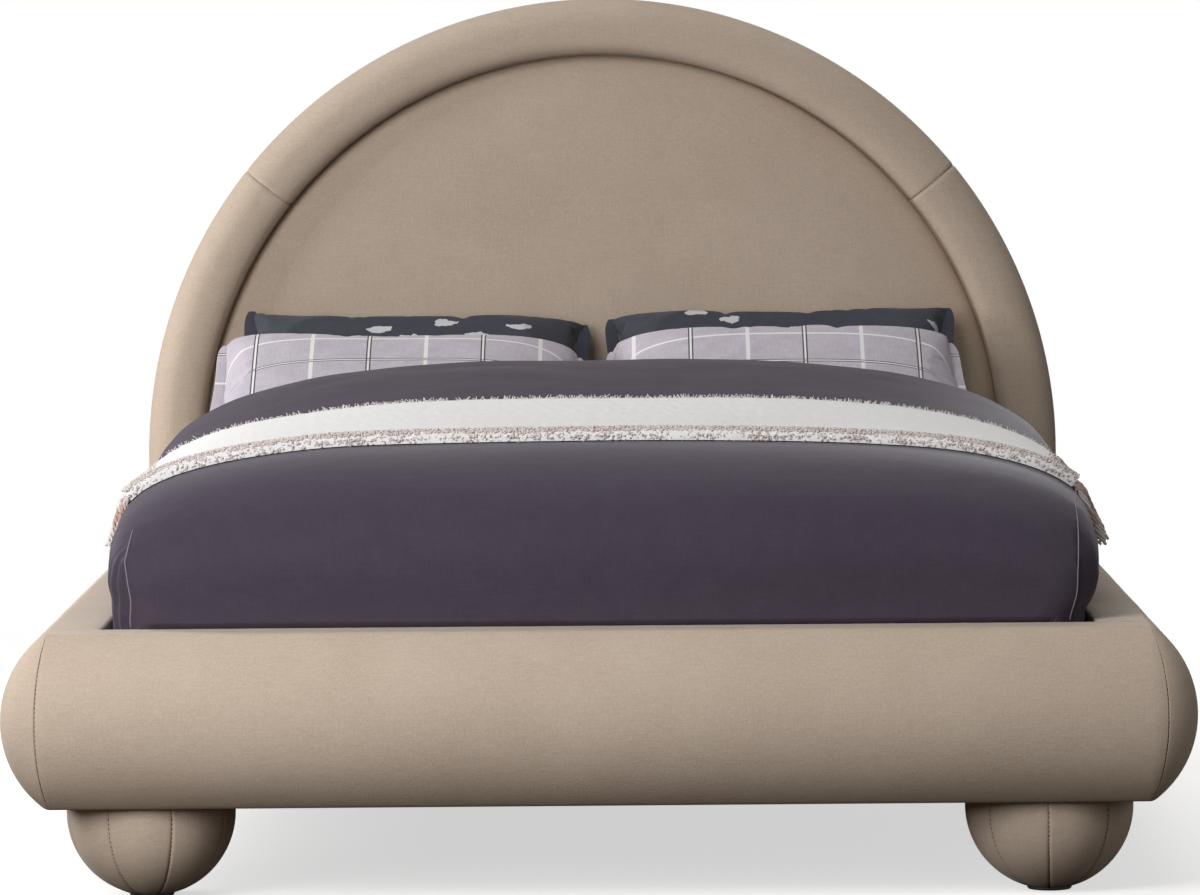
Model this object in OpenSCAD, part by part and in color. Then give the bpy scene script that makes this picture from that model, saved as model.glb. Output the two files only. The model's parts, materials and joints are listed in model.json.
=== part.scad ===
// Upholstered queen bed with an arched headboard, bulging rails and ball feet.
// Sizes are in millimetres. X points to the viewer's right, Y to the head, Z up.
// The origin is on the floor, at the centre of the outer box.

/* [Mattress] */
// Width of the mattress
mattress_w = 1524; // [1200:2:1930]
// Length of the mattress
mattress_l = 2032; // [1880:2:2130]
// Height of the mattress
mattress_h = 270; // [230:5:310]
// Plan radius of the mattress corners
mattress_corner_r = 60; // [30:5:90]
// Gap between the mattress and the side rails and footboard
mattress_gap = 13; // [12:1:30]
// Gap between the mattress and the padded headboard border
head_gap = 8; // [5:1:30]

/* [Rails and footboard] */
// Height of the rail's lower edge above the floor
rail_bottom = 152; // [130:1:180]
// Height of the padded rails and footboard
rail_h = 273; // [240:1:340]
// Width of the flat top of the rails and footboard
rail_w = 88; // [70:1:120]
// How far the padded outer face bulges past the flat top
bulge = 64; // [40:1:80]
// Height of the small straight edge above and below the bulge
bulge_edge = 4; // [2:1:10]
// Thickness of the padding over the top and bottom battens
pad_t = 6; // [4:1:12]
// Thickness of the velvet flap on the inner face
flap_t = 3; // [2:0.5:4]
// Thickness of the plywood boards of the rail frames
board_t = 18; // [15:1:25]
// Thickness of the battens along the rail frames
batten_t = 20; // [15:1:30]
// Gap at the butt joint between a rail and its neighbour
butt_gap = 0.5; // [0.3:0.1:2]

/* [Headboard] */
// Distance of the headboard's side in from the edge of the rails' flat tops
head_inset = 15; // [5:1:60]
// Height of the arc's centre above the rail tops
arc_rise = 144; // [100:1:220]
// Width of the padded border roll
border_w = 101; // [80:1:130]
// Depth of the border roll in front of the plywood face
border_depth = 75; // [70:1:110]
// Thickness of the border's padding round the outer edge
wrap_t = 12; // [8:1:20]
// Gap between the border roll and the padded panel
panel_gap = 1.5; // [1:0.5:4]
// Thickness of the padded panel at its rounded rim
panel_rim = 40; // [30:1:55]
// Height of the panel's crown above its rim
panel_crown = 14; // [5:1:25]
// Radius of the panel's rounded rim
panel_round = 26; // [15:1:28]
// Thickness of the plywood face
face_t = 9; // [6:1:15]
// Depth of the timber frame behind the face
head_frame_t = 48; // [35:1:60]
// Width of the frame's arched rim
head_rim_w = 50; // [40:1:80]
// Width of the frame's posts
head_post_w = 140; // [120:1:160]
// Thickness of the back cover
back_t = 3; // [2:0.5:5]

/* [Mattress base] */
// Height of the slats' upper face above the rails' lower edge
base_h = 148; // [140:1:180]
// Number of slats
slat_count = 14; // [10:1:18]
// Width of a slat
slat_w = 70; // [60:1:90]
// Thickness of a slat
slat_t = 18; // [15:1:22]
// Gap between a slat's end and the rail board
slat_gap = 3; // [1:1:5]
// Thickness of the ledgers that carry the slats
ledger_t = 30; // [25:1:40]
// Height of the ledgers
ledger_h = 40; // [36:1:45]
// Gap between a ledger's end and its neighbours
ledger_gap = 2; // [1:1:10]
// Number of screws in each ledger
ledger_screws = 9; // [6:1:12]
// Distance of the end screws from the ledger's ends
ledger_screw_inset = 60; // [40:5:120]
// Depth of the screws under the ledger's upper face
ledger_screw_drop = 29; // [26:1:32]
// Width of the centre beam
beam_w = 40; // [36:1:60]
// Height of the centre beam
beam_h = 60; // [50:1:70]
// Distance of a slat strap from the centre line
strap_x = 400; // [200:10:550]
// Width of the slat straps
strap_w = 25; // [20:1:40]
// Thickness of the slat straps
strap_t = 1.5; // [1:0.5:2]

/* [Ball feet] */
// Diameter of the ball feet
ball_d = 266; // [246:2:276]
// Distance of a ball's centre in from the rails' outer edge
ball_inset_x = 158; // [150:1:190]
// Distance of a ball's centre in from the outer box, front and rear
ball_inset_y = 220; // [210:1:260]
// Thickness of the padded cover on the balls
ball_pad = 10; // [6:1:14]
// Thickness of the plastic pad under each ball
ball_glide_t = 5; // [3:1:8]
// Diameter of the plastic pad under each ball
ball_glide_d = 70; // [50:2:78]
// Side length of the corner blocks that carry the feet
block_l = 300; // [270:5:360]
// Thickness of the corner blocks
block_t = 18; // [15:1:20]

/* [Centre legs] */
// Number of centre legs
leg_count = 3; // [2:1:4]
// Distance of the first centre leg behind the middle of the bed
leg_setback = 300; // [0:10:360]
// Distance between the centre legs
leg_pitch = 330; // [200:10:340]
// Diameter of the leg tubes
leg_d = 38; // [32:1:40]
// Wall of the leg tubes
leg_wall = 2; // [1.5:0.5:3]
// Height of the tube's lower end above the floor
leg_end_z = 20; // [16:1:30]
// Length of the threaded plug in the tube's lower end
leg_plug_h = 24; // [20:1:30]
// Diameter of the levelling foot
glide_d = 44; // [36:1:60]
// Thickness of the levelling foot's disc
glide_h = 8; // [6:1:12]
// Diameter of the levelling foot's stud
glide_stud_d = 10; // [8:1:12]
// Length of the stud above the leg's lower end
glide_stud_l = 45; // [40:1:60]

/* [Hardware] */
// Length of each leg of the corner brackets
bracket_l = 80; // [70:1:90]
// Gap between the corner brackets and the ledgers above them
bracket_gap = 8; // [2:1:16]
// Thickness of the corner brackets
bracket_t = 4; // [3:0.5:5]
// Diameter of the bracket bolts
bolt_d = 8; // [6:1:10]
// Wood left behind the tips of the bracket bolts
bolt_back = 2; // [1:0.5:5]
// Distance of the bracket bolts from the corner
bolt_out = 50; // [45:1:60]
// Distance of the bolts from the bracket's upper and lower edges
bolt_edge = 18; // [14:1:22]
// Diameter of the foot bolts
foot_bolt_d = 10; // [8:1:12]
// Length of the foot bolts under their heads
foot_bolt_l = 80; // [60:1:90]
// Diameter of the ledger screws
screw_d = 5; // [4:0.5:6]
// Wood left behind the tips of the ledger screws
screw_back = 3; // [1:0.5:6]
// Diameter of the slat screws
slat_screw_d = 4; // [3:0.5:5]
// Length of the slat screws
slat_screw_l = 36; // [30:1:38]
// Running clearance between a screw or bolt and its hole
hole_gap = 0.4; // [0.2:0.1:0.8]

/* [Bedding] */
// Width of a pillow
pillow_w = 672; // [600:2:700]
// Length of a pillow up its slope
pillow_l = 430; // [400:5:460]
// Thickness of the back pillows
pillow_back_t = 200; // [140:5:210]
// Thickness of the front pillows
pillow_front_t = 160; // [120:5:190]
// Gap between the left and the right pillows
pillow_gap = 26; // [10:1:60]
// How far the pillows lie to the left of the middle
pillow_shift = 10; // [0:1:30]
// Gap between the back pillows and the plane of the headboard's border
pillow_head_gap = 3; // [1:1:20]
// Length of the mattress that the duvet leaves free at the head
pillow_zone = 625; // [560:5:760]
// Thickness of the duvet on the mattress at the foot
duvet_foot_t = 118; // [90:1:150]
// Thickness of the duvet on the mattress at its far end
duvet_head_t = 210; // [160:1:220]
// Thickness of the duvet's tucked sides
duvet_side_t = 9; // [6:0.5:10]
// How far the duvet bulges over the footboard
duvet_over_foot = 6; // [0:1:12]
// How far the duvet bulges over the side rails
duvet_over_rail = 24; // [10:1:30]
// Height from the duvet's widest line up to the mattress's top
duvet_wide_drop = 47; // [30:1:70]
// Depth of the duvet's corner folds
fold_depth = 5; // [0:1:8]
// Distance from one corner fold to the next
fold_pitch = 120; // [90:5:200]
// Height of the tucked edge above the slats
duvet_tuck = 30; // [10:1:60]
// Distance from the duvet's front to the near edge of the throw
throw_d = 435; // [370:5:640]
// Length of the throw along the bed
throw_l = 593; // [400:1:640]
// Thickness of the throw
throw_t = 8; // [5:1:12]
// Gap between the throw and the duvet
throw_gap = 0.7; // [0.5:0.1:0.9]
// Number of tassels along each end of the throw
tassel_count = 24; // [12:1:30]
// Length of a tassel
tassel_l = 62; // [40:1:75]
// Diameter of a tassel
tassel_d = 7; // [5:1:9]

/* [Hidden] */
$fn = 120;

// Heights
rail_top = rail_bottom + rail_h;
base_z = rail_bottom + base_h;
mattress_top = base_z + mattress_h;
ledger_top = base_z - slat_t;
ledger_bottom = ledger_top - ledger_h;
beam_bottom = ledger_top - beam_h;
arc_z = rail_top + arc_rise;

// Half widths across the bed
well_x = mattress_w / 2 + mattress_gap;
board_x = well_x + flap_t;
core_x = well_x + rail_w;
head_r = core_x - head_inset;
border_r = head_r - border_w;
frame_r = head_r - wrap_t;
panel_r = border_r - panel_gap;

// Places along the bed, from the footboard's bulge to the headboard's back
head_t = face_t + head_frame_t + back_t;
total_l = bulge + rail_w + mattress_gap + mattress_l + head_gap + border_depth + head_t;
front_y = -total_l / 2;
core_y = front_y + bulge;
well_y = core_y + rail_w;
board_y = well_y - flap_t;
mattress_y0 = well_y + mattress_gap;
mattress_y1 = mattress_y0 + mattress_l;
face_y = mattress_y1 + head_gap + border_depth;
back_y = total_l / 2;

// Rail section
bulge_chord = rail_h - 2 * bulge_edge;
bulge_r = (pow(bulge_chord / 2, 2) + bulge * bulge) / (2 * bulge);
cover_core_w = rail_w - pad_t;

// Ball feet
ball_r = ball_d / 2;
ball_x = core_x - ball_inset_x;
ball_y = -front_y - ball_inset_y;
foot_bolt_head_h = 7;
foot_bolt_head_d = 17;
glide_edge = 2;
glide_pin_d = 5;
glide_pin_l = 24;
ball_core_z = ball_glide_t + ball_pad;

// How far a cut runs past the face that it opens
cut = 0.1;

// Hardware
bracket_z = rail_bottom + block_t;
bracket_h = ledger_bottom - bracket_gap - bracket_z;
bolt_l = bracket_t + board_t - bolt_back;
screw_l = ledger_t + board_t - screw_back;
tip_gap = 0.5;
bolt_head_d = bolt_d * 2;
bolt_head_h = 5;
// Share of its width that is left at the top of a bolt's head
head_taper = 0.75;
screw_head_d = screw_d * 2;
slat_screw_head_d = slat_screw_d * 2;
plate_screw_d = 4.5;
plate_screw_l = 15;
plate_screw_head_d = 9;
plate_screw_head_h = 2.5;

// Beam saddles
saddle_t = 3;
saddle_l = 50;
saddle_h = beam_h;
saddle_wing = 26;
saddle_gap = 0.5;

// Leg plates
leg_plate_l = 90;
leg_plate_t = 4;
leg_screw_out = 34;
glide_shoulder_d = 24;
glide_gap = 0.3;

// Cleats of the corner blocks
cleat = 25;
cleat_start = bracket_l + 12;
block_chamfer = 90;

// Frame of the headboard
head_mid_h = 80;
crown_steps = 12;
head_stile_x = 250;
head_stile_w = 60;

SIDES = [["left", -1], ["right", 1]];
ENDS = [["front", -1], ["rear", 1]];

LEGS = [for (i = [1:leg_count]) i];
CORNER_PARTS = ["corner_bracket", "corner_block", "foot_core", "foot_cover"];

VELVET = "#b8a894";
VELVET_SHADE = "#a39380";
PLYWOOD = "#d9bf93";
PINE = "#e0c898";
STEEL = "#8f9398";
BLACK = "#2b2b2d";
DUVET = "#5a535d";
LILAC = "#bab0bc";
SLATE = "#474a52";
FLEECE = "#e6e2df";
TICKING = "#efece6";

// A rounded rectangle from one corner to the other
module rounded_rect(x0, y0, x1, y1, r) {
    translate([x0 + r, y0]) square([x1 - x0 - 2 * r, y1 - y0]);
    translate([x0, y0 + r]) square([x1 - x0, y1 - y0 - 2 * r]);
    for (x = [x0 + r, x1 - r], y = [y0 + r, y1 - r]) translate([x, y]) circle(r);
}

// Padded outer section of a rail: across from the inner face, and up
module rail_outline() {
    translate([0, rail_bottom]) square([rail_w, rail_h]);
    rail_bulge(rail_w);
}

// The bulge alone, outside the line at the given distance
module rail_bulge(x) {
    intersection() {
        translate([x + bulge - bulge_r, rail_bottom + rail_h / 2]) circle(bulge_r);
        translate([x, rail_bottom]) square([bulge + cut, rail_h]);
    }
}

// Timber section of a rail: an inner board with two battens
module rail_core_outline() {
    lift = rail_bottom + pad_t;
    core_h = rail_h - 2 * pad_t;
    translate([flap_t, lift]) square([board_t, core_h]);
    for (z = [lift, lift + core_h - batten_t])
        translate([flap_t, z]) square([cover_core_w - flap_t, batten_t]);
}

// Padding and velvet of a rail, with the board's inner face left bare below the slats
module rail_cover_outline() {
    difference() {
        rail_outline();
        rail_core_outline();
        translate([-cut, rail_bottom - cut]) square([flap_t + cut, base_h + cut]);
    }
}

// Runs a section along the right rail
module along_rail(y0, y1) {
    translate([well_x, y1, 0]) rotate([90, 0, 0]) linear_extrude(y1 - y0) children();
}

// Places a child at a side: 1 is right and -1 is left
module at_side(side) {
    if (side < 0) mirror([1, 0, 0]) children();
    else children();
}

// Places a child in the right corner between the boards at an end: 1 is the head and -1 the foot
module at_end(end) {
    if (end < 0) translate([board_x, board_y, 0]) children();
    else translate([board_x, face_y, 0]) mirror([0, 1, 0]) children();
}

// Places the same child in any corner
module at_corner(side, end) {
    at_side(side) at_end(end) children();
}

// Holes for the bracket bolts, in the corner's own place
module bolt_holes(d, l) {
    for (z = [bracket_z + bolt_edge, bracket_z + bracket_h - bolt_edge]) {
        translate([-bracket_t - cut, bolt_out, z]) rotate([0, 90, 0]) cylinder(d = d, h = l);
        translate([-bolt_out, bracket_t + cut, z]) rotate([90, 0, 0]) cylinder(d = d, h = l);
    }
}

module corner_bracket(side, end) {
    color(STEEL) at_corner(side, end) difference() {
        union() {
            translate([-bracket_t, 0, bracket_z]) cube([bracket_t, bracket_l, bracket_h]);
            translate([-bracket_l, 0, bracket_z]) cube([bracket_l, bracket_t, bracket_h]);
        }
        bolt_holes(bolt_d + hole_gap, bracket_t + 2 * cut);
    }
}

module bracket_bolts() {
    color(STEEL) for (s = SIDES, e = ENDS) at_corner(s[1], e[1])
        for (z = [bracket_z + bolt_edge, bracket_z + bracket_h - bolt_edge]) {
            translate([-bracket_t, bolt_out, z]) rotate([0, 90, 0])
                bolt(bolt_d, bolt_l, bolt_head_d, bolt_head_h);
            translate([-bolt_out, bracket_t, z]) rotate([90, 0, 0])
                bolt(bolt_d, bolt_l, bolt_head_d, bolt_head_h);
        }
}

// A bolt whose head lies below zero and whose shank runs up
module bolt(d, l, head_d, head_h) {
    cylinder(d = d, h = l);
    translate([0, 0, -head_h]) cylinder(d1 = head_d * head_taper, d2 = head_d, h = head_h);
}

module plate_screw() {
    bolt(plate_screw_d, plate_screw_l, plate_screw_head_d, plate_screw_head_h);
}

// A countersunk screw whose head is flush at zero and whose shank runs up
module csk_screw(d, l, head_d) {
    cylinder(d = d, h = l);
    cylinder(d1 = head_d, d2 = d, h = (head_d - d) / 2);
}

module rail_frame(side) {
    color(PINE) at_side(side) difference() {
        along_rail(well_y + butt_gap, face_y - butt_gap) rail_core_outline();
        for (end = [-1, 1]) at_end(end) bolt_holes(bolt_d + hole_gap, bolt_l + tip_gap);
        ledger_screw_places() cylinder(d = screw_d + hole_gap, h = screw_l + tip_gap);
    }
}

module rail_cover(side) {
    color(VELVET) at_side(side)
        along_rail(well_y + butt_gap, face_y - butt_gap) rail_cover_outline();
}

// Runs a section along the footboard's front, its inner face towards the mattress
module along_footboard() {
    translate([-core_x, well_y, 0]) rotate([90, 0, 90]) mirror([1, 0, 0])
        linear_extrude(2 * core_x) children();
}

// Solid outer form of the footboard with its rounded, bulging ends
module footboard_solid() {
    along_footboard() rail_outline();
    for (side = [-1, 1]) at_side(side) {
        translate([core_x, core_y, 0]) rotate([0, 0, -90]) rotate_extrude(angle = 90) rail_bulge(0);
        translate([core_x, well_y, 0]) rotate([90, 0, 0]) linear_extrude(rail_w) rail_bulge(0);
    }
}

// Timber of the footboard: the rail section with closed ends
module footboard_timber() {
    lift = rail_bottom + pad_t;
    core_h = rail_h - 2 * pad_t;
    end_x = core_x - pad_t;
    intersection() {
        along_footboard() rail_core_outline();
        translate([-end_x, front_y, 0]) cube([2 * end_x, total_l, rail_top]);
    }
    for (side = [-1, 1]) at_side(side)
        translate([end_x - board_t, core_y + pad_t, lift]) cube([board_t, cover_core_w - flap_t, core_h]);
}

module footboard_frame() {
    color(PINE) difference() {
        footboard_timber();
        for (side = [-1, 1]) at_corner(side, -1) bolt_holes(bolt_d + hole_gap, bolt_l + tip_gap);
        saddle_screw_places(-1) cylinder(d = plate_screw_d + hole_gap, h = plate_screw_l + tip_gap);
    }
}

module footboard_cover() {
    color(VELVET) difference() {
        footboard_solid();
        footboard_timber();
        // The board's inner face is bare below the slats
        translate([-board_x, board_y, rail_bottom - cut])
            cube([2 * board_x, flap_t + cut, base_h + cut]);
    }
}

// Points of the ledger screws, aimed from the ledger's inner face to the right
module ledger_screw_places() {
    y0 = well_y + ledger_gap + ledger_screw_inset;
    y1 = face_y - ledger_gap - ledger_screw_inset;
    pitch = (y1 - y0) / (ledger_screws - 1);
    for (i = [0:ledger_screws - 1])
        translate([board_x - ledger_t, y0 + pitch * i, ledger_top - ledger_screw_drop])
            rotate([0, 90, 0]) children();
}

// Point of a slat's right screw, aimed down from the slat's upper face
module slat_screw_place(i) {
    translate([board_x - ledger_t / 2, slat_y(i) + slat_w / 2, base_z]) rotate([180, 0, 0]) children();
}

module slat_screw_places() {
    for (i = [0:slat_count - 1]) slat_screw_place(i) children();
}

// Front edge of a slat
function slat_y(i) = mattress_y0 + (mattress_l - slat_w) * i / (slat_count - 1);

module ledger(side) {
    color(PINE) at_side(side) difference() {
        translate([board_x - ledger_t, well_y + ledger_gap, ledger_bottom])
            cube([ledger_t, face_y - well_y - 2 * ledger_gap, ledger_h]);
        ledger_screw_places() csk_hole(screw_d, ledger_t, screw_head_d);
        slat_screw_places() cylinder(d = slat_screw_d + hole_gap, h = slat_screw_l + tip_gap);
    }
}

// A countersunk hole with clearance, right through a board that lies above zero
module csk_hole(d, board, head_d) {
    translate([0, 0, -cut]) cylinder(d = d + hole_gap, h = board + 2 * cut);
    translate([0, 0, -cut])
        cylinder(d1 = head_d + hole_gap + 2 * cut, d2 = d + hole_gap, h = (head_d - d) / 2 + cut);
}

module ledger_screw_set() {
    color(STEEL) for (side = [-1, 1]) at_side(side)
        ledger_screw_places() csk_screw(screw_d, screw_l, screw_head_d);
}

module slats() {
    half = board_x - slat_gap;
    color(PLYWOOD) for (i = [0:slat_count - 1]) difference() {
        translate([-half, slat_y(i), ledger_top]) cube([2 * half, slat_w, slat_t]);
        for (side = [-1, 1]) at_side(side)
            slat_screw_place(i) csk_hole(slat_screw_d, slat_t, slat_screw_head_d);
    }
}

module slat_screw_set() {
    color(STEEL) for (side = [-1, 1]) at_side(side)
        slat_screw_places() csk_screw(slat_screw_d, slat_screw_l, slat_screw_head_d);
}

module slat_straps() {
    color(BLACK) for (side = [-1, 1]) at_side(side)
        translate([strap_x - strap_w / 2, mattress_y0, ledger_top - strap_t])
            cube([strap_w, mattress_l, strap_t]);
}

module center_beam() {
    y0 = board_y + saddle_t + saddle_gap;
    y1 = face_y - saddle_t - saddle_gap;
    color(PINE) difference() {
        translate([-beam_w / 2, y0, beam_bottom]) cube([beam_w, y1 - y0, beam_h]);
        leg_screw_places() cylinder(d = plate_screw_d + hole_gap, h = plate_screw_l + tip_gap);
    }
}

// Screws of a beam saddle, aimed into the board at the foot or the headboard
module saddle_screw_places(end) {
    at_saddle(end)
        for (x = [-1, 1], z = [0.25, 0.75])
            translate([x * (beam_w / 2 + saddle_t + saddle_wing / 2), saddle_t, beam_bottom + saddle_h * z])
                rotate([90, 0, 0]) children();
}

module at_saddle(end) {
    if (end < 0) translate([0, board_y, 0]) children();
    else translate([0, face_y, 0]) mirror([0, 1, 0]) children();
}

module beam_bracket(end) {
    wing_x = beam_w / 2 + saddle_gap + saddle_t + saddle_wing;
    cheek_x = beam_w / 2 + saddle_gap;
    color(STEEL) difference() {
        at_saddle(end) {
            translate([-wing_x, 0, beam_bottom - saddle_t]) cube([2 * wing_x, saddle_t, saddle_h]);
            translate([-cheek_x, 0, beam_bottom - saddle_t]) cube([2 * cheek_x, saddle_l, saddle_t]);
            for (side = [-1, 1]) at_side(side)
                translate([cheek_x, 0, beam_bottom - saddle_t]) cube([saddle_t, saddle_l, saddle_h]);
        }
        saddle_screw_places(end) translate([0, 0, -cut])
            cylinder(d = plate_screw_d + hole_gap, h = saddle_t + 2 * cut);
    }
}

module beam_bracket_screws() {
    color(STEEL) for (end = [-1, 1]) saddle_screw_places(end) plate_screw();
}

// Place of a centre leg along the beam, counted from the foot end and set back out of sight
function leg_y(i) = leg_setback + i * leg_pitch;

module center_leg(i) {
    tube_l = beam_bottom - leg_plate_t - leg_end_z;
    color(BLACK) translate([0, leg_y(i), 0]) difference() {
        union() {
            translate([-beam_w / 2, -leg_plate_l / 2, beam_bottom - leg_plate_t])
                cube([beam_w, leg_plate_l, leg_plate_t]);
            difference() {
                translate([0, 0, leg_end_z]) cylinder(d = leg_d, h = tube_l);
                translate([0, 0, leg_end_z + leg_plug_h])
                    cylinder(d = leg_d - 2 * leg_wall, h = tube_l - leg_plug_h);
            }
        }
        translate([0, 0, leg_end_z - cut])
            cylinder(d = glide_stud_d + hole_gap, h = leg_plug_h + 2 * cut);
        for (end = [-1, 1]) translate([0, end * leg_screw_out, beam_bottom - leg_plate_t - cut])
            cylinder(d = plate_screw_d + hole_gap, h = leg_plate_t + 2 * cut);
    }
}

module leg_glide(i) {
    color(BLACK) translate([0, leg_y(i), 0]) {
        cylinder(d1 = glide_d - 2 * glide_edge, d2 = glide_d, h = glide_edge);
        translate([0, 0, glide_edge]) cylinder(d = glide_d, h = glide_h - glide_edge);
        translate([0, 0, glide_h])
            cylinder(d = glide_shoulder_d, h = leg_end_z - glide_gap - glide_h, $fn = 6);
        translate([0, 0, glide_h]) cylinder(d = glide_stud_d, h = leg_end_z - glide_h + glide_stud_l);
    }
}

// Screws that hold the leg plates, aimed up into the beam
module leg_screw_places() {
    for (i = [0:leg_count - 1], end = [-1, 1])
        translate([0, leg_y(i) + end * leg_screw_out, beam_bottom - leg_plate_t]) children();
}

module leg_screws() {
    color(STEEL) leg_screw_places() plate_screw();
}

// A plywood plate in the frame's corner with a cleat along each rail
module corner_block(side, end) {
    reach = block_l - block_chamfer;
    cleat_l = block_l - cleat_start;
    foot_x = ball_x - board_x;
    foot_y = end < 0 ? -ball_y - board_y : face_y - ball_y;
    color(PLYWOOD) at_corner(side, end) difference() {
        union() {
            translate([0, 0, rail_bottom]) linear_extrude(block_t)
                polygon([[0, 0], [0, block_l], [-reach, block_l], [-block_l, reach], [-block_l, 0]]);
            translate([-cleat, cleat_start, rail_bottom + block_t]) cube([cleat, cleat_l, cleat]);
            translate([-block_l, 0, rail_bottom + block_t]) cube([cleat_l, cleat, cleat]);
        }
        translate([foot_x, foot_y, rail_bottom - cut])
            cylinder(d = foot_bolt_d + hole_gap, h = block_t + 2 * cut);
    }
}

module at_foot(side, end) {
    translate([side * ball_x, end * ball_y, 0]) children();
}

// A ball flat at both ends, standing on its foot's centre
module flat_ball(r, low, high) {
    intersection() {
        translate([0, 0, ball_r]) sphere(r);
        translate([-r, -r, low]) cube([2 * r, 2 * r, high - low]);
    }
}

// The wooden core of a foot
module foot_core(side, end) {
    color(PLYWOOD) at_foot(side, end) difference() {
        flat_ball(ball_r - ball_pad, ball_core_z, rail_bottom);
        translate([0, 0, rail_bottom + block_t - foot_bolt_l - tip_gap])
            cylinder(d = foot_bolt_d + hole_gap, h = foot_bolt_l);
        translate([0, 0, ball_core_z - cut])
            cylinder(d = glide_pin_d + hole_gap, h = glide_pin_l - ball_pad + tip_gap + cut);
    }
}

// The padded velvet shell round the core
module foot_cover(side, end) {
    color(VELVET) at_foot(side, end) difference() {
        flat_ball(ball_r, ball_glide_t, rail_bottom);
        flat_ball(ball_r - ball_pad, ball_core_z, rail_bottom + cut);
        cylinder(d = glide_pin_d + hole_gap, h = ball_core_z + cut);
    }
}

module foot_bolts() {
    color(STEEL) for (s = SIDES, e = ENDS) at_foot(s[1], e[1])
        translate([0, 0, rail_bottom + block_t]) rotate([180, 0, 0])
            bolt(foot_bolt_d, foot_bolt_l, foot_bolt_head_d, foot_bolt_head_h);
}

module foot_glides() {
    color(BLACK) for (s = SIDES, e = ENDS) at_foot(s[1], e[1]) {
        cylinder(d1 = ball_glide_d - 2 * glide_edge, d2 = ball_glide_d, h = glide_edge);
        translate([0, 0, glide_edge]) cylinder(d = ball_glide_d, h = ball_glide_t - glide_edge);
        cylinder(d = glide_pin_d, h = ball_glide_t + glide_pin_l);
    }
}

// Turns a section of radius and depth into the headboard's arch, depth running to the foot
module arch() {
    translate([0, face_y, arc_z]) rotate([90, 0, 0]) rotate_extrude(angle = 180) children();
}

// Runs the same section straight down both sides to the given height
module arch_sides(z0) {
    for (side = [-1, 1]) at_side(side)
        translate([0, face_y, arc_z]) rotate([180, 0, 0]) linear_extrude(arc_z - z0) children();
}

// A plate in the headboard's outline, between two depths behind the face
module arch_plate(r, z0, depth0, depth1) {
    translate([0, face_y + depth1, 0]) rotate([90, 0, 0]) linear_extrude(depth1 - depth0) {
        intersection() {
            translate([0, arc_z]) circle(r);
            translate([-r, arc_z]) square([2 * r, r]);
        }
        if (z0 < arc_z) translate([-r, z0]) square([2 * r, arc_z - z0]);
    }
}

module headboard_face() {
    color(PLYWOOD) difference() {
        arch_plate(frame_r, rail_bottom, 0, face_t);
        headboard_holes();
    }
}

// Holes for the bracket bolts and the beam saddle's screws
module headboard_holes() {
    for (side = [-1, 1]) at_corner(side, 1) bolt_holes(bolt_d + hole_gap, bolt_l + tip_gap);
    saddle_screw_places(1) cylinder(d = plate_screw_d + hole_gap, h = plate_screw_l + tip_gap);
}

module headboard_frame() {
    depth0 = face_t;
    depth1 = face_t + head_frame_t;
    inner_r = frame_r - head_rim_w;
    post_x = frame_r - head_post_w;
    color(PINE) difference() {
        union() {
            // Arched rim
            difference() {
                arch_plate(frame_r, arc_z, depth0, depth1);
                arch_plate(inner_r, arc_z - cut, depth0 - cut, depth1 + cut);
            }
            // Posts, lower rail, middle rail and stiles
            for (side = [-1, 1]) at_side(side) {
                head_member(post_x, rail_bottom, frame_r, arc_z);
                head_member(head_stile_x, base_z, head_stile_x + head_stile_w,
                    arc_z + sqrt(inner_r * inner_r - head_stile_x * head_stile_x));
            }
            head_member(-post_x, rail_bottom, post_x, base_z);
            head_member(-post_x, arc_z - head_mid_h, post_x, arc_z);
        }
        headboard_holes();
    }
}

// A flat member of the headboard's frame between two corners seen from the foot
module head_member(x0, z0, x1, z1) {
    translate([x0, face_y + face_t, z0]) cube([x1 - x0, head_frame_t, z1 - z0]);
}

// Section of the padded panel: radius across, thickness up
module panel_section() {
    flat_r = panel_r - panel_round;
    round_z = panel_rim - panel_round;
    polygon(concat([[0, 0], [panel_r, 0], [panel_r, round_z]],
        [for (a = [15:15:90]) [flat_r + panel_round * cos(a), round_z + panel_round * sin(a)]],
        [for (i = [crown_steps - 1:-1:0]) let (t = i / crown_steps)
            [flat_r * t, panel_rim + panel_crown * (1 - t * t)]]));
}

module headboard_panel() {
    color(VELVET) {
        arch() panel_section();
        arch_sides(base_z) panel_section();
    }
}

// Section of the border roll, which also wraps the frame's outer edge
module border_section() {
    roll_r = border_w / 2;
    translate([border_r, 0]) square([border_w, border_depth - roll_r]);
    intersection() {
        translate([border_r + roll_r, border_depth - roll_r]) circle(roll_r);
        translate([border_r, 0]) square([border_w, border_depth]);
    }
    border_wrap();
}

// The part of the border's section that lies outside the frame's edge
module border_wrap() {
    translate([frame_r, -head_t]) square([wrap_t, head_t]);
}

module headboard_border() {
    color(VELVET) {
        arch() border_section();
        arch_sides(rail_top) border_section();
        arch_sides(rail_bottom) border_wrap();
    }
}

module headboard_back() {
    color(VELVET_SHADE) arch_plate(frame_r, rail_bottom, head_t - back_t, head_t);
}

module mattress_outline(grow) {
    x = mattress_w / 2 + grow;
    rounded_rect(-x, mattress_y0 - grow, x, mattress_y1 + grow, mattress_corner_r + grow);
}

module mattress() {
    color(TICKING) translate([0, 0, base_z]) linear_extrude(mattress_h) mattress_outline(0);
}

// Soft forms
soft_gap = 0.5;
duvet_low = base_z + duvet_tuck;
duvet_wide_z = mattress_top - duvet_wide_drop;
duvet_y0 = well_y - duvet_over_foot;
duvet_y1 = mattress_y1 - pillow_zone;
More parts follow.
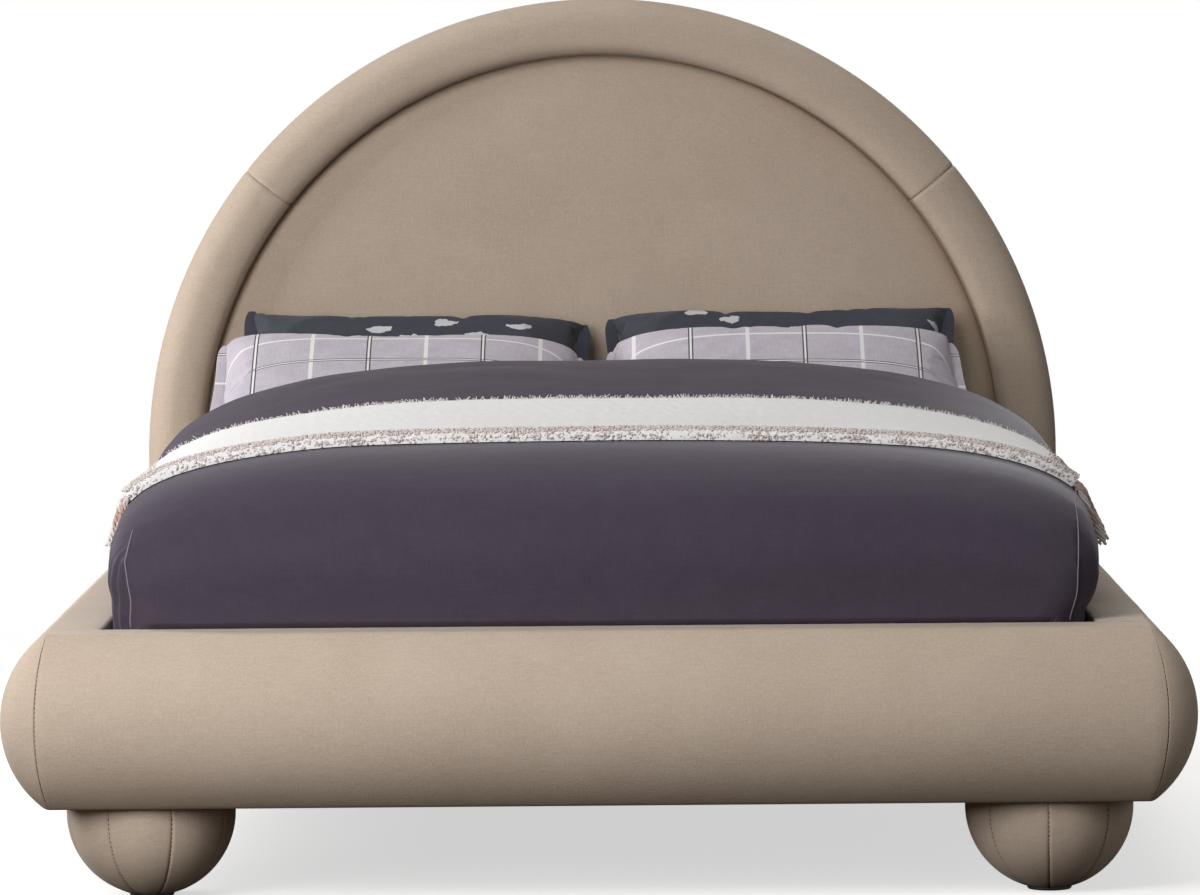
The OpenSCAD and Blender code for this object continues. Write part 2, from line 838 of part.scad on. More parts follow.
// Lengths of the curves at the duvet's two ends, and the radius of its plan corners
duvet_front_round = 350;
duvet_end_round = 60;
duvet_corner_r = mattress_corner_r + mattress_gap + 2;
// Share of the duvet's height that stays up at its far end
duvet_end_low = 0.62;
// How far from the front the duvet widens, grows rounder and swells, and how fast its folds fade
widen_l = 700;
power_l = 600;
swell_start = 750;
fold_fade = 120;
// Lift of the rounded front above its very edge
front_lift = 6;
// The side's flare between the rail tops and the widest line
flare_out = 4;
flare_drop = 12;
duvet_side_x = mattress_w / 2 + soft_gap + duvet_side_t;
duvet_mid_x = well_x + duvet_over_rail;
duvet_foot_x = well_x + duvet_over_foot;
foot_power = 4.5;
head_power = 2.8;
front_power = 3;
end_power = 2.2;
section_steps = 28;
front_steps = 11;
throw_steps = 7;
behind_steps = 4;
end_steps = 4;
tassel_gap = 0.3;

function clamp(v, lo, hi) = min(max(v, lo), hi);
function ease(t) = let (c = clamp(t, 0, 1)) c * c * (3 - 2 * c);
// Rises from 0 to 1 round an arc of the given power
function round_up(t, p) = let (c = clamp(t, 0, 1)) pow(1 - pow(1 - c, p), 1 / p);

// Stations along the duvet, close together where it curves down
throw_y0 = duvet_y0 + throw_d;
throw_y1 = throw_y0 + throw_l;
duvet_behind_y1 = duvet_y1 - duvet_end_round;
duvet_front_ys = [for (i = [0:front_steps]) duvet_y0 + duvet_front_round * (1 - cos(90 * i / front_steps))];
throw_ys = [for (i = [0:throw_steps]) throw_y0 + throw_l * i / throw_steps];
duvet_behind_ys = [for (i = [1:behind_steps - 1])
    throw_y1 + (duvet_behind_y1 - throw_y1) * i / behind_steps];
duvet_end_ys = [for (i = [0:end_steps]) duvet_behind_y1 + duvet_end_round * sin(90 * i / end_steps)];

// Height of the duvet's middle at a place along the bed
function duvet_crown(y) = mattress_top + duvet_foot_t + (duvet_head_t - duvet_foot_t)
    * ease((y - duvet_y0 - swell_start) / (duvet_y1 - duvet_y0 - swell_start));

// How far a point of the duvet's side lies inward where its plan corner turns
function duvet_turn(y) = duvet_corner_r * (1 - round_up((y - duvet_y0) / duvet_corner_r, 2));

// Folds of the tucked cloth next to the foot corners
function duvet_fold(y) =
    fold_depth * sin(360 * (y - duvet_y0) / fold_pitch) * exp(-(y - duvet_y0) / fold_fade);

// Half width of the duvet at its widest height
function duvet_half(y) = duvet_foot_x + (duvet_mid_x - duvet_foot_x) * ease((y - duvet_y0) / widen_l)
    + duvet_fold(y) - duvet_turn(y);

// Power of the section's curve, which is boxy at the foot and rounder under the throw
function duvet_power(y) = foot_power + (head_power - foot_power) * ease((y - duvet_y0) / power_l);

// Height of the section's top over its widest line, which curves down at both ends
function duvet_rise(y) = (duvet_crown(y) - duvet_wide_z)
    * round_up((y - duvet_y0 + front_lift) / duvet_front_round, front_power)
    * (duvet_end_low + (1 - duvet_end_low) * round_up((duvet_y1 - y) / duvet_end_round, end_power));

// A point of the duvet's section at an angle round its crowned top, pushed out by grow
function duvet_top_point(y, a, grow) =
    let (w = duvet_half(y),
         h = duvet_rise(y),
         p = 2 / duvet_power(y),
         x = w * sign(cos(a)) * pow(abs(cos(a)), p),
         z = h * pow(abs(sin(a)), p),
         nx = sign(cos(a)) * pow(abs(cos(a)), 2 - p) / w,
         nz = pow(abs(sin(a)), 2 - p) / h,
         n = sqrt(nx * nx + nz * nz))
    [x + grow * nx / n, y, duvet_wide_z + z + grow * nz / n];

// Angles round the top, from one side over to the other
function section_angle(j) = 180 * j / section_steps;

// One closed ring of the duvet's outer form
function duvet_ring(y) =
    let (low_x = duvet_side_x - duvet_turn(y),
         mid_x = (low_x + duvet_half(y)) / 2 + flare_out,
         mid_z = (rail_top + duvet_wide_z) / 2 - flare_drop)
    concat([[low_x, y, duvet_low], [low_x, y, rail_top], [mid_x, y, mid_z]],
        [for (j = [0:section_steps]) duvet_top_point(y, section_angle(j), 0)],
        [[-mid_x, y, mid_z], [-low_x, y, rail_top], [-low_x, y, duvet_low]]);

// Joins rings of equal length into a closed body, with a fan over each end
module loft(rings, first_center, last_center) {
    n = len(rings[0]);
    m = len(rings);
    points = concat([for (r = rings) each r], [first_center, last_center]);
    faces = concat(
        [for (i = [0:m - 2], j = [0:n - 1]) let (k = (j + 1) % n)
            each [[i * n + j, i * n + k, (i + 1) * n + k], [i * n + j, (i + 1) * n + k, (i + 1) * n + j]]],
        [for (j = [0:n - 1]) [m * n, (j + 1) % n, j]],
        [for (j = [0:n - 1]) [m * n + 1, (m - 1) * n + j, (m - 1) * n + (j + 1) % n]]);
    polyhedron(points, faces);
}

// What the duvet keeps clear of below the rail tops: all that lies outside the well
module well_clearance() {
    x = well_x - 2 * soft_gap;
    y = well_y + 2 * soft_gap;
    h = rail_top + soft_gap - duvet_low;
    difference() {
        translate([-core_x, core_y, duvet_low - cut]) cube([2 * core_x, total_l, h + cut]);
        translate([-x, y, duvet_low - 2 * cut]) cube([2 * x, total_l, h + 4 * cut]);
    }
}

module duvet() {
    ys = concat(duvet_front_ys, throw_ys, duvet_behind_ys, duvet_end_ys);
    rings = [for (y = ys) duvet_ring(y)];
    color(DUVET) difference() {
        loft(rings, [0, duvet_y0, rail_top], [0, duvet_y1, rail_top]);
        well_clearance();
        translate([0, 0, duvet_low - cut])
            linear_extrude(mattress_top - duvet_low + cut) mattress_outline(soft_gap);
    }
}

// The throw lies across the duvet and hangs a little way down both sides
module throw() {
    last = section_steps - 1;
    rings = [for (y = throw_ys) concat(
        [for (j = [1:last]) duvet_top_point(y, section_angle(j), throw_gap + throw_t)],
        [for (j = [last:-1:1]) duvet_top_point(y, section_angle(j), throw_gap)])];
    color(FLEECE) strip_loft(rings);
}

// Joins thin closed rings into a body, with a row of triangle pairs over each end
module strip_loft(rings) {
    n = len(rings[0]);
    m = len(rings);
    half = n / 2;
    points = [for (r = rings) each r];
    last = (m - 1) * n;
    faces = concat(
        [for (i = [0:m - 2], j = [0:n - 1]) let (k = (j + 1) % n)
            each [[i * n + j, i * n + k, (i + 1) * n + k], [i * n + j, (i + 1) * n + k, (i + 1) * n + j]]],
        [for (j = [0:half - 2]) let (b = n - 1 - j) each [[j, b, b - 1], [j, b - 1, j + 1]]],
        [for (j = [0:half - 2]) let (b = n - 1 - j)
            each [[last + j, last + b - 1, last + b], [last + j, last + j + 1, last + b - 1]]]);
    polyhedron(points, faces);
}

// Tassels hang from the throw's two ends, side by side
module throw_tassels() {
    pitch = (throw_l - 2 * tassel_d) / (tassel_count - 1);
    color(FLEECE) for (side = [-1, 1]) at_side(side) for (i = [0:tassel_count - 1]) {
        y = throw_y0 + tassel_d + pitch * i;
        inner = duvet_top_point(y, section_angle(1), throw_gap);
        outer = duvet_top_point(y, section_angle(1), throw_gap + throw_t);
        x = duvet_half(y) + throw_gap + tassel_d / 2;
        along = clamp((x - tassel_d / 4 - inner[0]) / (outer[0] - inner[0]), 0, 1);
        top = inner[2] + (outer[2] - inner[2]) * along - tassel_gap;
        translate([x, y, top - tassel_l]) cylinder(d1 = tassel_d, d2 = tassel_d / 2, h = tassel_l);
    }
}

// Pillows: each lies on a rising line, the front ones over the back ones
pillow_cols = 14;
pillow_rows = 10;
pillow_draw = 0.05;
pillow_rim = 1.5;
pillow_rise_power = 1.35;
pillow_square = 2.6;
pillow_fullness = 0.55;
// The plane between the front and the back pillows: its slope, and its place behind the duvet
lean_slope = 0.7;
lean_y = duvet_y1 + 190;
lean_lift = 10;
back_pillow_rise = 252;
back_pillow_run = sqrt(pow(pillow_l, 2) - pow(back_pillow_rise, 2));
back_pillow_y = face_y - border_depth - pillow_head_gap - back_pillow_run;
pillow_duvet_gap = 6;
front_pillow_y = duvet_y1 + pillow_duvet_gap;
front_pillow_rise = 208;

// Height of the plane on which the front pillows lie on the back ones
function lean_z(y) = mattress_top + lean_lift + lean_slope * (y - lean_y);

// Crown of a pillow over its flat outline, from 0 at the seam to 1
function pillow_swell(u, v) =
    pow((1 - pow(abs(u), pillow_square)) * (1 - pow(abs(v), pillow_square)), pillow_fullness);

// A point of a pillow: face is 1 above and -1 below
function pillow_point(cx, y0, rise, t, front, u, v, face) =
    let (run = sqrt(pillow_l * pillow_l - rise * rise),
         s = max((1 + v * (1 - pillow_draw * (1 - u * u))) / 2, 0.001),
         x = cx + u * pillow_w / 2 * (1 - pillow_draw * (1 - v * v)),
         y = y0 + run * s,
         z = mattress_top + soft_gap + pillow_rim * 2 + rise * pow(s, pillow_rise_power),
         slope = rise * pillow_rise_power * pow(s, pillow_rise_power - 1) / run,
         n = sqrt(1 + slope * slope),
         w = face * (pillow_rim + t / 2 * pillow_swell(u, v)),
         // The lower face stops at the mattress, and at the plane between the pillows
         floor_w = (mattress_top + soft_gap - z) * n,
         lean_w = (lean_z(y) + (front ? soft_gap : -soft_gap) - z) / (1 / n + lean_slope * slope / n),
         low_w = front ? max(floor_w, min(lean_w, -pillow_rim)) : floor_w,
         high_w = front ? w : min(w, max(lean_w, pillow_rim)),
         fit = face < 0 ? max(w, low_w) : high_w)
    [x, y - fit * slope / n, z + fit / n];

module pillow(cx, y0, rise, t, front) {
    nu = pillow_cols;
    nv = pillow_rows;
    row = nu + 1;
    grid = row * (nv + 1);
    points = [for (face = [1, -1], j = [0:nv], i = [0:nu])
        pillow_point(cx, y0, rise, t, front, 2 * i / nu - 1, 2 * j / nv - 1, face)];
    edge = concat([for (i = [0:nu - 1]) i], [for (j = [0:nv - 1]) j * row + nu],
        [for (i = [nu:-1:1]) nv * row + i], [for (j = [nv:-1:1]) j * row]);
    faces = concat(
        [for (j = [0:nv - 1], i = [0:nu - 1]) let (a = j * row + i)
            each [[a, a + row, a + row + 1], [a, a + row + 1, a + 1]]],
        [for (j = [0:nv - 1], i = [0:nu - 1]) let (a = grid + j * row + i)
            each [[a, a + row + 1, a + row], [a, a + 1, a + row + 1]]],
        [for (k = [0:len(edge) - 1]) let (a = edge[k], b = edge[(k + 1) % len(edge)])
            each [[a, b, grid + b], [a, grid + b, grid + a]]]);
    polyhedron(points, faces);
}

function pillow_x(side) = side * (pillow_w + pillow_gap) / 2 - pillow_shift;

module pillow_back(side) {
    color(SLATE) pillow(pillow_x(side), back_pillow_y, back_pillow_rise, pillow_back_t, false);
}

module pillow_front(side) {
    color(LILAC) pillow(pillow_x(side), front_pillow_y, front_pillow_rise, pillow_front_t, true);
}

headboard_face();
headboard_frame();
headboard_panel();
headboard_border();
headboard_back();
footboard_frame();
footboard_cover();
for (s = SIDES) {
    rail_frame(s[1]);
    rail_cover(s[1]);
    ledger(s[1]);
    pillow_back(s[1]);
    pillow_front(s[1]);
}
for (e = ENDS, s = SIDES) {
    corner_bracket(s[1], e[1]);
    corner_block(s[1], e[1]);
    foot_core(s[1], e[1]);
    foot_cover(s[1], e[1]);
}
for (i = LEGS) {
    center_leg(i - 1);
    leg_glide(i - 1);
}
ledger_screw_set();  // ledger_screws
slats();
slat_straps();
slat_screw_set();  // slat_screws
center_beam();
beam_bracket(-1);  // beam_bracket_foot
beam_bracket(1);  // beam_bracket_head
beam_bracket_screws();
leg_screws();
bracket_bolts();
foot_bolts();
foot_glides();
mattress();
duvet();
throw();
throw_tassels();
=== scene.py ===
"""An upholstered bed with an arched headboard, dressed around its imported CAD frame.

Every length is in metres. X points to the viewer's right, Y to the head and Z up.
"""

import json
import logging
import math
from collections.abc import Callable
from dataclasses import dataclass
from enum import Enum

import bmesh
import bpy
import numpy as np
from mathutils import Matrix, Vector, noise

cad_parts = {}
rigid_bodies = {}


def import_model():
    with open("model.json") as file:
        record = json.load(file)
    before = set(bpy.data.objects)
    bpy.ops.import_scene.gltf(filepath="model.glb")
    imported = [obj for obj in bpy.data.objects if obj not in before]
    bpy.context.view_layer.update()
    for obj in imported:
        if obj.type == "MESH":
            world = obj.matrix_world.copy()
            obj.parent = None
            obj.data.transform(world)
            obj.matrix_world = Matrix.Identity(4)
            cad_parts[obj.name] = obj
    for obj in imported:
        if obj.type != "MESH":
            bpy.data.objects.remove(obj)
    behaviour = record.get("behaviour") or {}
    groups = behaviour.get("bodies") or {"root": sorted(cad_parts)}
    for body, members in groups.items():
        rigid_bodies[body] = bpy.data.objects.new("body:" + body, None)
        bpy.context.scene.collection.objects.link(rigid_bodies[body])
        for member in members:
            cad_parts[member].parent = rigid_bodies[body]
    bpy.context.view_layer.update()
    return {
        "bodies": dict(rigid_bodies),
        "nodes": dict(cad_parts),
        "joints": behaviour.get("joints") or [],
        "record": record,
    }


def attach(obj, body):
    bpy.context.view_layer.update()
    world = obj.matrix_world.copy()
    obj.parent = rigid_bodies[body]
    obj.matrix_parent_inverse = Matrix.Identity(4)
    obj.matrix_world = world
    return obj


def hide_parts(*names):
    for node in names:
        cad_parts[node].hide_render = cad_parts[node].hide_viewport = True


LOG = logging.getLogger("bed")
MM = 0.001

# Short names for Blender's types
Tree = bpy.types.NodeTree
Socket = bpy.types.NodeSocket
Piece = bpy.types.Object
Shape = bmesh.types.BMesh
Vert = bmesh.types.BMVert
Edge = bmesh.types.BMEdge
Face = bmesh.types.BMFace


class Side(Enum):
    """The two sides of the bed, as the sign of X."""

    LEFT = -1
    RIGHT = 1

    @property
    def word(self) -> str:
        """The side's name as the nodes spell it."""
        return self.name.lower()


class Grain(Enum):
    """The direction in which a board's grain runs."""

    X = 0
    Y = 1
    Z = 2


@dataclass(frozen=True)
class BedSizes:
    """Sizes that several sub-assemblies share."""

    well_x: float = 0.775
    board_x: float = 0.778
    core_x: float = 0.863
    bulge: float = 0.064
    rail_bottom: float = 0.152
    rail_top: float = 0.425
    core_y: float = -1.106
    board_y: float = -1.021
    well_y: float = -1.018
    face_y: float = 1.110
    base_z: float = 0.300
    mattress_top: float = 0.570
    mattress_x: float = 0.762
    mattress_y0: float = -1.005
    mattress_y1: float = 1.027
    arc_z: float = 0.569
    head_r: float = 0.848
    border_r: float = 0.747
    head_depth: float = 0.060


BED = BedSizes()


# Curves


def ease(t: float) -> float:
    """Rise smoothly from 0 to 1."""
    c = min(max(t, 0.0), 1.0)
    return c * c * (3 - 2 * c)


def round_up(t: float, power: float) -> float:
    """Rise from 0 to 1 round an arc of the given power."""
    c = min(max(t, 0.0), 1.0)
    return (1 - (1 - c) ** power) ** (1 / power)


def bell(t: float) -> float:
    """Fall from 1 at nought to almost nothing at 2, on both sides."""
    return math.exp(-t * t)


def unevenness(point: Vector, size: float, seed: float) -> float:
    """Give a smooth value from about -1 to 1 that varies over the given size."""
    return noise.noise(point / size + Vector((seed, seed * 0.7, -seed)))


def run_lengths(line: np.ndarray) -> np.ndarray:
    """Return how far along a line of points each of them lies."""
    return np.concatenate([[0], np.cumsum(np.linalg.norm(np.diff(line, axis=0), axis=1))])


def points_at(line: np.ndarray, lengths: np.ndarray, at: np.ndarray) -> np.ndarray:
    """Return the points of a flat line at the given distances along it."""
    return np.column_stack([np.interp(at, lengths, line[:, k]) for k in (0, 1)])


def turns_about(center: tuple, axis: str, angles: list[float]) -> list[Matrix]:
    """Return the turns about an axis through a point, from each angle in degrees to the next.

    Args:
        center: a point of the axis.
        axis: the axis: X, Y or Z.
        angles: the angles, in order.

    Returns:
        One turn fewer than there are angles.
    """
    pivot = Matrix.Translation(center)
    turns = [Matrix.Rotation(math.radians(b - a), 4, axis) for a, b in zip(angles, angles[1:])]
    return [pivot @ turn @ pivot.inverted() for turn in turns]


# Meshes


def run_section(bm: Shape, section: list[Vector], steps: list[Matrix], closed: bool) -> list[list[Vert]]:
    """Extrude a section from place to place.

    Args:
        bm: the mesh that gets the section.
        section: the section's points in their first place.
        steps: for each next place, the move that leads there from the place before.
        closed: whether the section is a loop.

    Returns:
        One row of vertices for each place, in the section's order.
    """
    row = [bm.verts.new(point) for point in section]
    ends = row[1:] + row[:1] if closed else row[1:]
    edges = [bm.edges.new(pair) for pair in zip(row, ends)]
    rows = [row]
    for step in steps:
        made = bmesh.ops.extrude_edge_only(bm, edges=edges)["geom"]
        fresh = {v for v in made if isinstance(v, Vert)}
        edges = [e for e in made if isinstance(e, Edge) and fresh.issuperset(e.verts)]
        row = [next(e.other_vert(v) for e in v.link_edges if e.other_vert(v) in fresh) for v in row]
        bmesh.ops.transform(bm, matrix=step, verts=row)
        rows.append(row)
    return rows


def cap_rows(bm: Shape, rows: list[list[Vert]]) -> None:
    """Close both ends of a run of closed sections."""
    for row in (rows[0], rows[-1]):
        bm.faces.new(row)


def two_faces(
    bm: Shape,
    counts: tuple[int, int],
    place: Callable[[float, float, int], Vector],
    faces: tuple[int, int] = (1, -1),
) -> list[Face]:
    """Add a grid for each face of a soft piece and bridge their borders.

    Args:
        bm: the mesh that gets them.
        counts: the grids' segments across and along.
        place: gives a vertex's place from its shares of the grid, -1 to 1, and its face.
        faces: the numbers of the two faces, in the order in which they are made.

    Returns:
        The faces between the two borders.
    """
    loops = []
    for face in faces:
        made = bmesh.ops.create_grid(bm, x_segments=counts[0], y_segments=counts[1], size=1)
        for vert in made["verts"]:
            vert.co = place(vert.co.x, vert.co.y, face)
        verts = set(made["verts"])
        loops += [e for e in bm.edges if e.is_boundary and e.verts[0] in verts]
    return bmesh.ops.bridge_loops(bm, edges=loops)["faces"]


def soften(bm: Shape, edges: list[Edge], width: float, segments: int) -> None:
    """Round edges over."""
    bmesh.ops.bevel(bm, geom=edges, offset=width, segments=segments, profile=0.5, affect="EDGES", material=-1)


def make_piece(name: str, bm: Shape, materials: list[bpy.types.Material], sharp_deg: float = 40.0) -> Piece:
    """Turn a finished bmesh into an object of the scene.

    Args:
        name: the piece's name.
        bm: the mesh, which is freed.
        materials: its materials, in slot order.
        sharp_deg: edges that fold more than this stay crisp.

    Returns:
        The new object.
    """
    bmesh.ops.recalc_face_normals(bm, faces=bm.faces[:])
    mesh = bpy.data.meshes.new(name)
    bm.to_mesh(mesh)
    bm.free()
    for material in materials:
        mesh.materials.append(material)
    mesh.polygons.foreach_set("use_smooth", [True] * len(mesh.polygons))
    mesh.set_sharp_from_angle(angle=math.radians(sharp_deg))
    piece = bpy.data.objects.new(name, mesh)
    bpy.context.scene.collection.objects.link(piece)
    LOG.info("%s: %d faces", name, len(mesh.polygons))
    return piece


def apply_modifiers(piece: Piece) -> None:
    """Replace a piece's mesh by what its modifiers make of it.

    Args:
        piece: the piece, which gets a new mesh.
    """
    bpy.context.view_layer.update()
    graph = bpy.context.evaluated_depsgraph_get()
    shaped = bpy.data.meshes.new_from_object(piece.evaluated_get(graph))
    plain = piece.data
    piece.modifiers.clear()
    piece.data = shaped
    shaped.name = plain.name
    bpy.data.meshes.remove(plain)


def round_off(piece: Piece, levels: int = 1) -> None:
    """Finish a piece with a subdivision surface."""
    surface = piece.modifiers.new("surface", "SUBSURF")
    surface.levels = surface.render_levels = levels


def mesh_points(mesh: bpy.types.Mesh) -> np.ndarray:
    """Return a mesh's vertices as rows of three numbers.

    Args:
        mesh: the mesh.

    Returns:
        A row for each vertex, in metres.
    """
    flat = np.empty(len(mesh.vertices) * 3, np.float32)
    mesh.vertices.foreach_get("co", flat)
    return flat.reshape(-1, 3).astype(float)


def plump(piece: Piece, voxel: float, pressure: float, cap: float, slack: float) -> None:
    """Blow a closed cloth piece up from inside, so that it creases as a filled cover does.

    Args:
        piece: the piece, whose mesh is replaced.
        voxel: size of the cells that the mesh is rebuilt from.
        pressure: the pressure inside.
        cap: how far a point may move.
        slack: share of spare cloth, which buckles into creases.
    """
    cells = piece.modifiers.new("cells", "REMESH")
    cells.mode, cells.voxel_size, cells.use_smooth_shade = "VOXEL", voxel, True
    apply_modifiers(piece)
    frames = 20
    start = mesh_points(piece.data)
    cloth = piece.modifiers.new("cover", "CLOTH")
    cloth.settings.quality = 5
    cloth.settings.mass = 0.3
    cloth.settings.tension_stiffness = cloth.settings.compression_stiffness = 20
    cloth.settings.bending_stiffness = 0.4
    cloth.settings.shrink_min = -slack
    cloth.settings.use_pressure = True
    cloth.settings.uniform_pressure_force = pressure
    cloth.settings.effector_weights.gravity = 0
    cloth.collision_settings.use_collision = False
    cloth.point_cache.frame_start, cloth.point_cache.frame_end = 1, frames
    scene = bpy.context.scene
    for frame in range(1, frames + 1):
        scene.frame_set(frame)
    shaped = piece.evaluated_get(bpy.context.evaluated_depsgraph_get()).data
    moves = mesh_points(shaped) - start
    piece.modifiers.remove(cloth)
    scene.frame_set(1)
    reach = np.maximum(np.linalg.norm(moves, axis=1, keepdims=True), 1e-9)
    placed = start + moves * np.minimum(1, cap / reach)
    piece.data.vertices.foreach_set("co", placed.astype(np.float32).ravel())
    piece.data.update()


def tube(name: str, lines: list[list[Vector]], radius: float, closed: bool = False) -> Shape:
    """Make round cords along lines of points.

    Args:
        name: a name for the passing curve.
        lines: the points of each cord.
        radius: the cords' radius.
        closed: whether the cords are loops.

    Returns:
        A new mesh of them all.
    """
    curve = bpy.data.curves.new(name, "CURVE")
    curve.dimensions, curve.bevel_depth, curve.bevel_resolution = "3D", radius, 1
    curve.use_fill_caps = not closed
    for line in lines:
        spline = curve.splines.new("POLY")
        spline.points.add(len(line) - 1)
        for point, place in zip(spline.points, line):
            point.co = (*place, 1)
        spline.use_cyclic_u = closed
    cord = bpy.data.objects.new(name, curve)
    bpy.context.scene.collection.objects.link(cord)
    bpy.context.view_layer.update()
    mesh = bpy.data.meshes.new_from_object(cord.evaluated_get(bpy.context.evaluated_depsgraph_get()))
    bm = bmesh.new()
    bm.from_mesh(mesh)
    bpy.data.objects.remove(cord)
    bpy.data.curves.remove(curve)
    bpy.data.meshes.remove(mesh)
    return bm


def stitches(line: list[Vector], pitch: float, length: float, radius: float) -> list[Matrix]:
    """Return the places of short stitches along a seam.

    Args:
        line: the points of the seam.
        pitch: the distance from one stitch to the next.
        length: a stitch's length.
        radius: the thread's radius.

    Returns:
        For each stitch, the matrix that lays a unit ball out as the stitch.
    """
    places = []
    spare = 0.0
    for start, end in zip(line, line[1:]):
        run = end - start
        turn = run.to_track_quat("Z", "Y").to_matrix().to_4x4()
        shape = Matrix.Diagonal((radius, radius, length / 2, 1))
        while spare < run.length:
            places.append(Matrix.Translation(start + run * (spare / run.length)) @ turn @ shape)
            spare += pitch
        spare -= run.length
    return places


def beads(places: list[Matrix], slots: list[int] | None = None) -> Shape:
    """Put a small round bead at every place.

    The beads are made some dozens at a time, because each operator passes over the whole mesh.

    Args:
        places: for each bead, the matrix that shapes and places a unit ball.
        slots: for each bead, its material's number.

    Returns:
        A new mesh of them all.
    """
    whole = bmesh.new()
    batch = 40
    for first in range(0, len(places), batch):
        part = bmesh.new()
        for i in range(first, min(first + batch, len(places))):
            made = bmesh.ops.create_icosphere(part, subdivisions=1, radius=1, matrix=places[i])
            for vert in made["verts"] if slots else ():
                for face in vert.link_faces:
                    face.material_index = slots[i]
        mesh = bpy.data.meshes.new("beads")
        part.to_mesh(mesh)
        part.free()
        whole.from_mesh(mesh)
        bpy.data.meshes.remove(mesh)
    return whole


# Finishes


def linear(code: str) -> tuple[float, float, float, float]:
    """Turn an sRGB hex colour into linear red, green, blue and alpha."""
    parts = [int(code[i : i + 2], 16) / 255 for i in (1, 3, 5)]
    return (*[p / 12.92 if p <= 0.04045 else ((p + 0.055) / 1.055) ** 2.4 for p in parts], 1.0)


def add_node(tree: Tree, kind: str, inputs: dict | None = None, **settings: object) -> bpy.types.Node:
    """Add a node, set it up and fill its inputs.

    Args:
        tree: the material's or world's nodes.
        kind: the node's type.
        inputs: for an input's name or number, its value or the output it is linked from.
        settings: the node's own settings.

    Returns:
        The new node.
    """
    made = tree.nodes.new(kind)
    for name, value in settings.items():
        setattr(made, name, value)
    for key, value in (inputs or {}).items():
        if isinstance(value, Socket):
            tree.links.new(value, made.inputs[key])
        else:
            made.inputs[key].default_value = value
    return made


@dataclass(frozen=True)
class Finish:
    """What every finish has: its name, and constants of its shader."""

    name: str
    roughness: float = 0.8
    metallic: float = 0.0
    specular: float = 0.5
    sheen: float = 0.0
    sheen_roughness: float = 0.4

    def paint(self, tree: Tree) -> dict:
        """Return the shader's linked inputs. Each finish has its own."""
        raise NotImplementedError

    def material(self) -> bpy.types.Material:
        """Return the finish's material, made on first use.

        Returns:
            The material.
        """
        made = bpy.data.materials.get(self.name)
        if made:
            return made
        made = bpy.data.materials.new(self.name)
        made.use_nodes = True
        tree = made.node_tree
        tree.nodes.clear()
        inputs = {
            "Roughness": self.roughness,
            "Metallic": self.metallic,
            "Specular IOR Level": self.specular,
            "Sheen Weight": self.sheen,
            "Sheen Roughness": self.sheen_roughness,
            **self.paint(tree),
        }
        shader = add_node(tree, "ShaderNodeBsdfPrincipled", inputs)
        add_node(tree, "ShaderNodeOutputMaterial", {"Surface": shader.outputs["BSDF"]})
        return made

    @staticmethod
    def place(tree: Tree, stretch: tuple = (1, 1, 1), uv: bool = False) -> Socket:
        """Return the piece's own coordinates in metres, stretched along each axis."""
        source = add_node(tree, "ShaderNodeTexCoord").outputs["UV" if uv else "Object"]
        return add_node(tree, "ShaderNodeMapping", {"Vector": source, "Scale": stretch}).outputs[0]

    @staticmethod
    def cloud(tree: Tree, place: Socket, size: float, detail: float = 2.0) -> Socket:
        """Return a soft noise whose patches are about the given size."""
        inputs = {"Vector": place, "Scale": 1 / size, "Detail": detail, "Roughness": 0.6}
        return add_node(tree, "ShaderNodeTexNoise", inputs).outputs["Fac"]

    @staticmethod
    def spread(tree: Tree, value: Socket, low: float, high: float) -> Socket:
        """Stretch the part of a value between low and high over 0 to 1."""
        inputs = {"Value": value, "From Min": low, "From Max": high}
        return add_node(tree, "ShaderNodeMapRange", inputs).outputs["Result"]

    @staticmethod
    def mix(tree: Tree, share: object, first: object, second: object) -> Socket:
        """Mix two colours, given as hex codes or outputs.

        Args:
            tree: the material's nodes.
            share: the second colour's share.
            first: the colour at 0.
            second: the colour at 1.

        Returns:
            The mixed colour.
        """
        first, second = (linear(c) if isinstance(c, str) else c for c in (first, second))
        inputs = {0: share, 6: first, 7: second}
        return add_node(tree, "ShaderNodeMix", inputs, data_type="RGBA").outputs[2]

    @staticmethod
    def math(tree: Tree, kind: str, first: object, second: object = 0.0) -> Socket:
        """Return the result of one sum on two values or outputs."""
        return add_node(tree, "ShaderNodeMath", {0: first, 1: second}, operation=kind).outputs[0]

    @staticmethod
    def bump(tree: Tree, height: Socket, depth: float, strength: float = 1.0) -> Socket:
        """Turn a height from 0 to 1 into a bumped normal of the given depth."""
        inputs = {"Height": height, "Distance": depth, "Strength": strength}
        return add_node(tree, "ShaderNodeBump", inputs).outputs["Normal"]


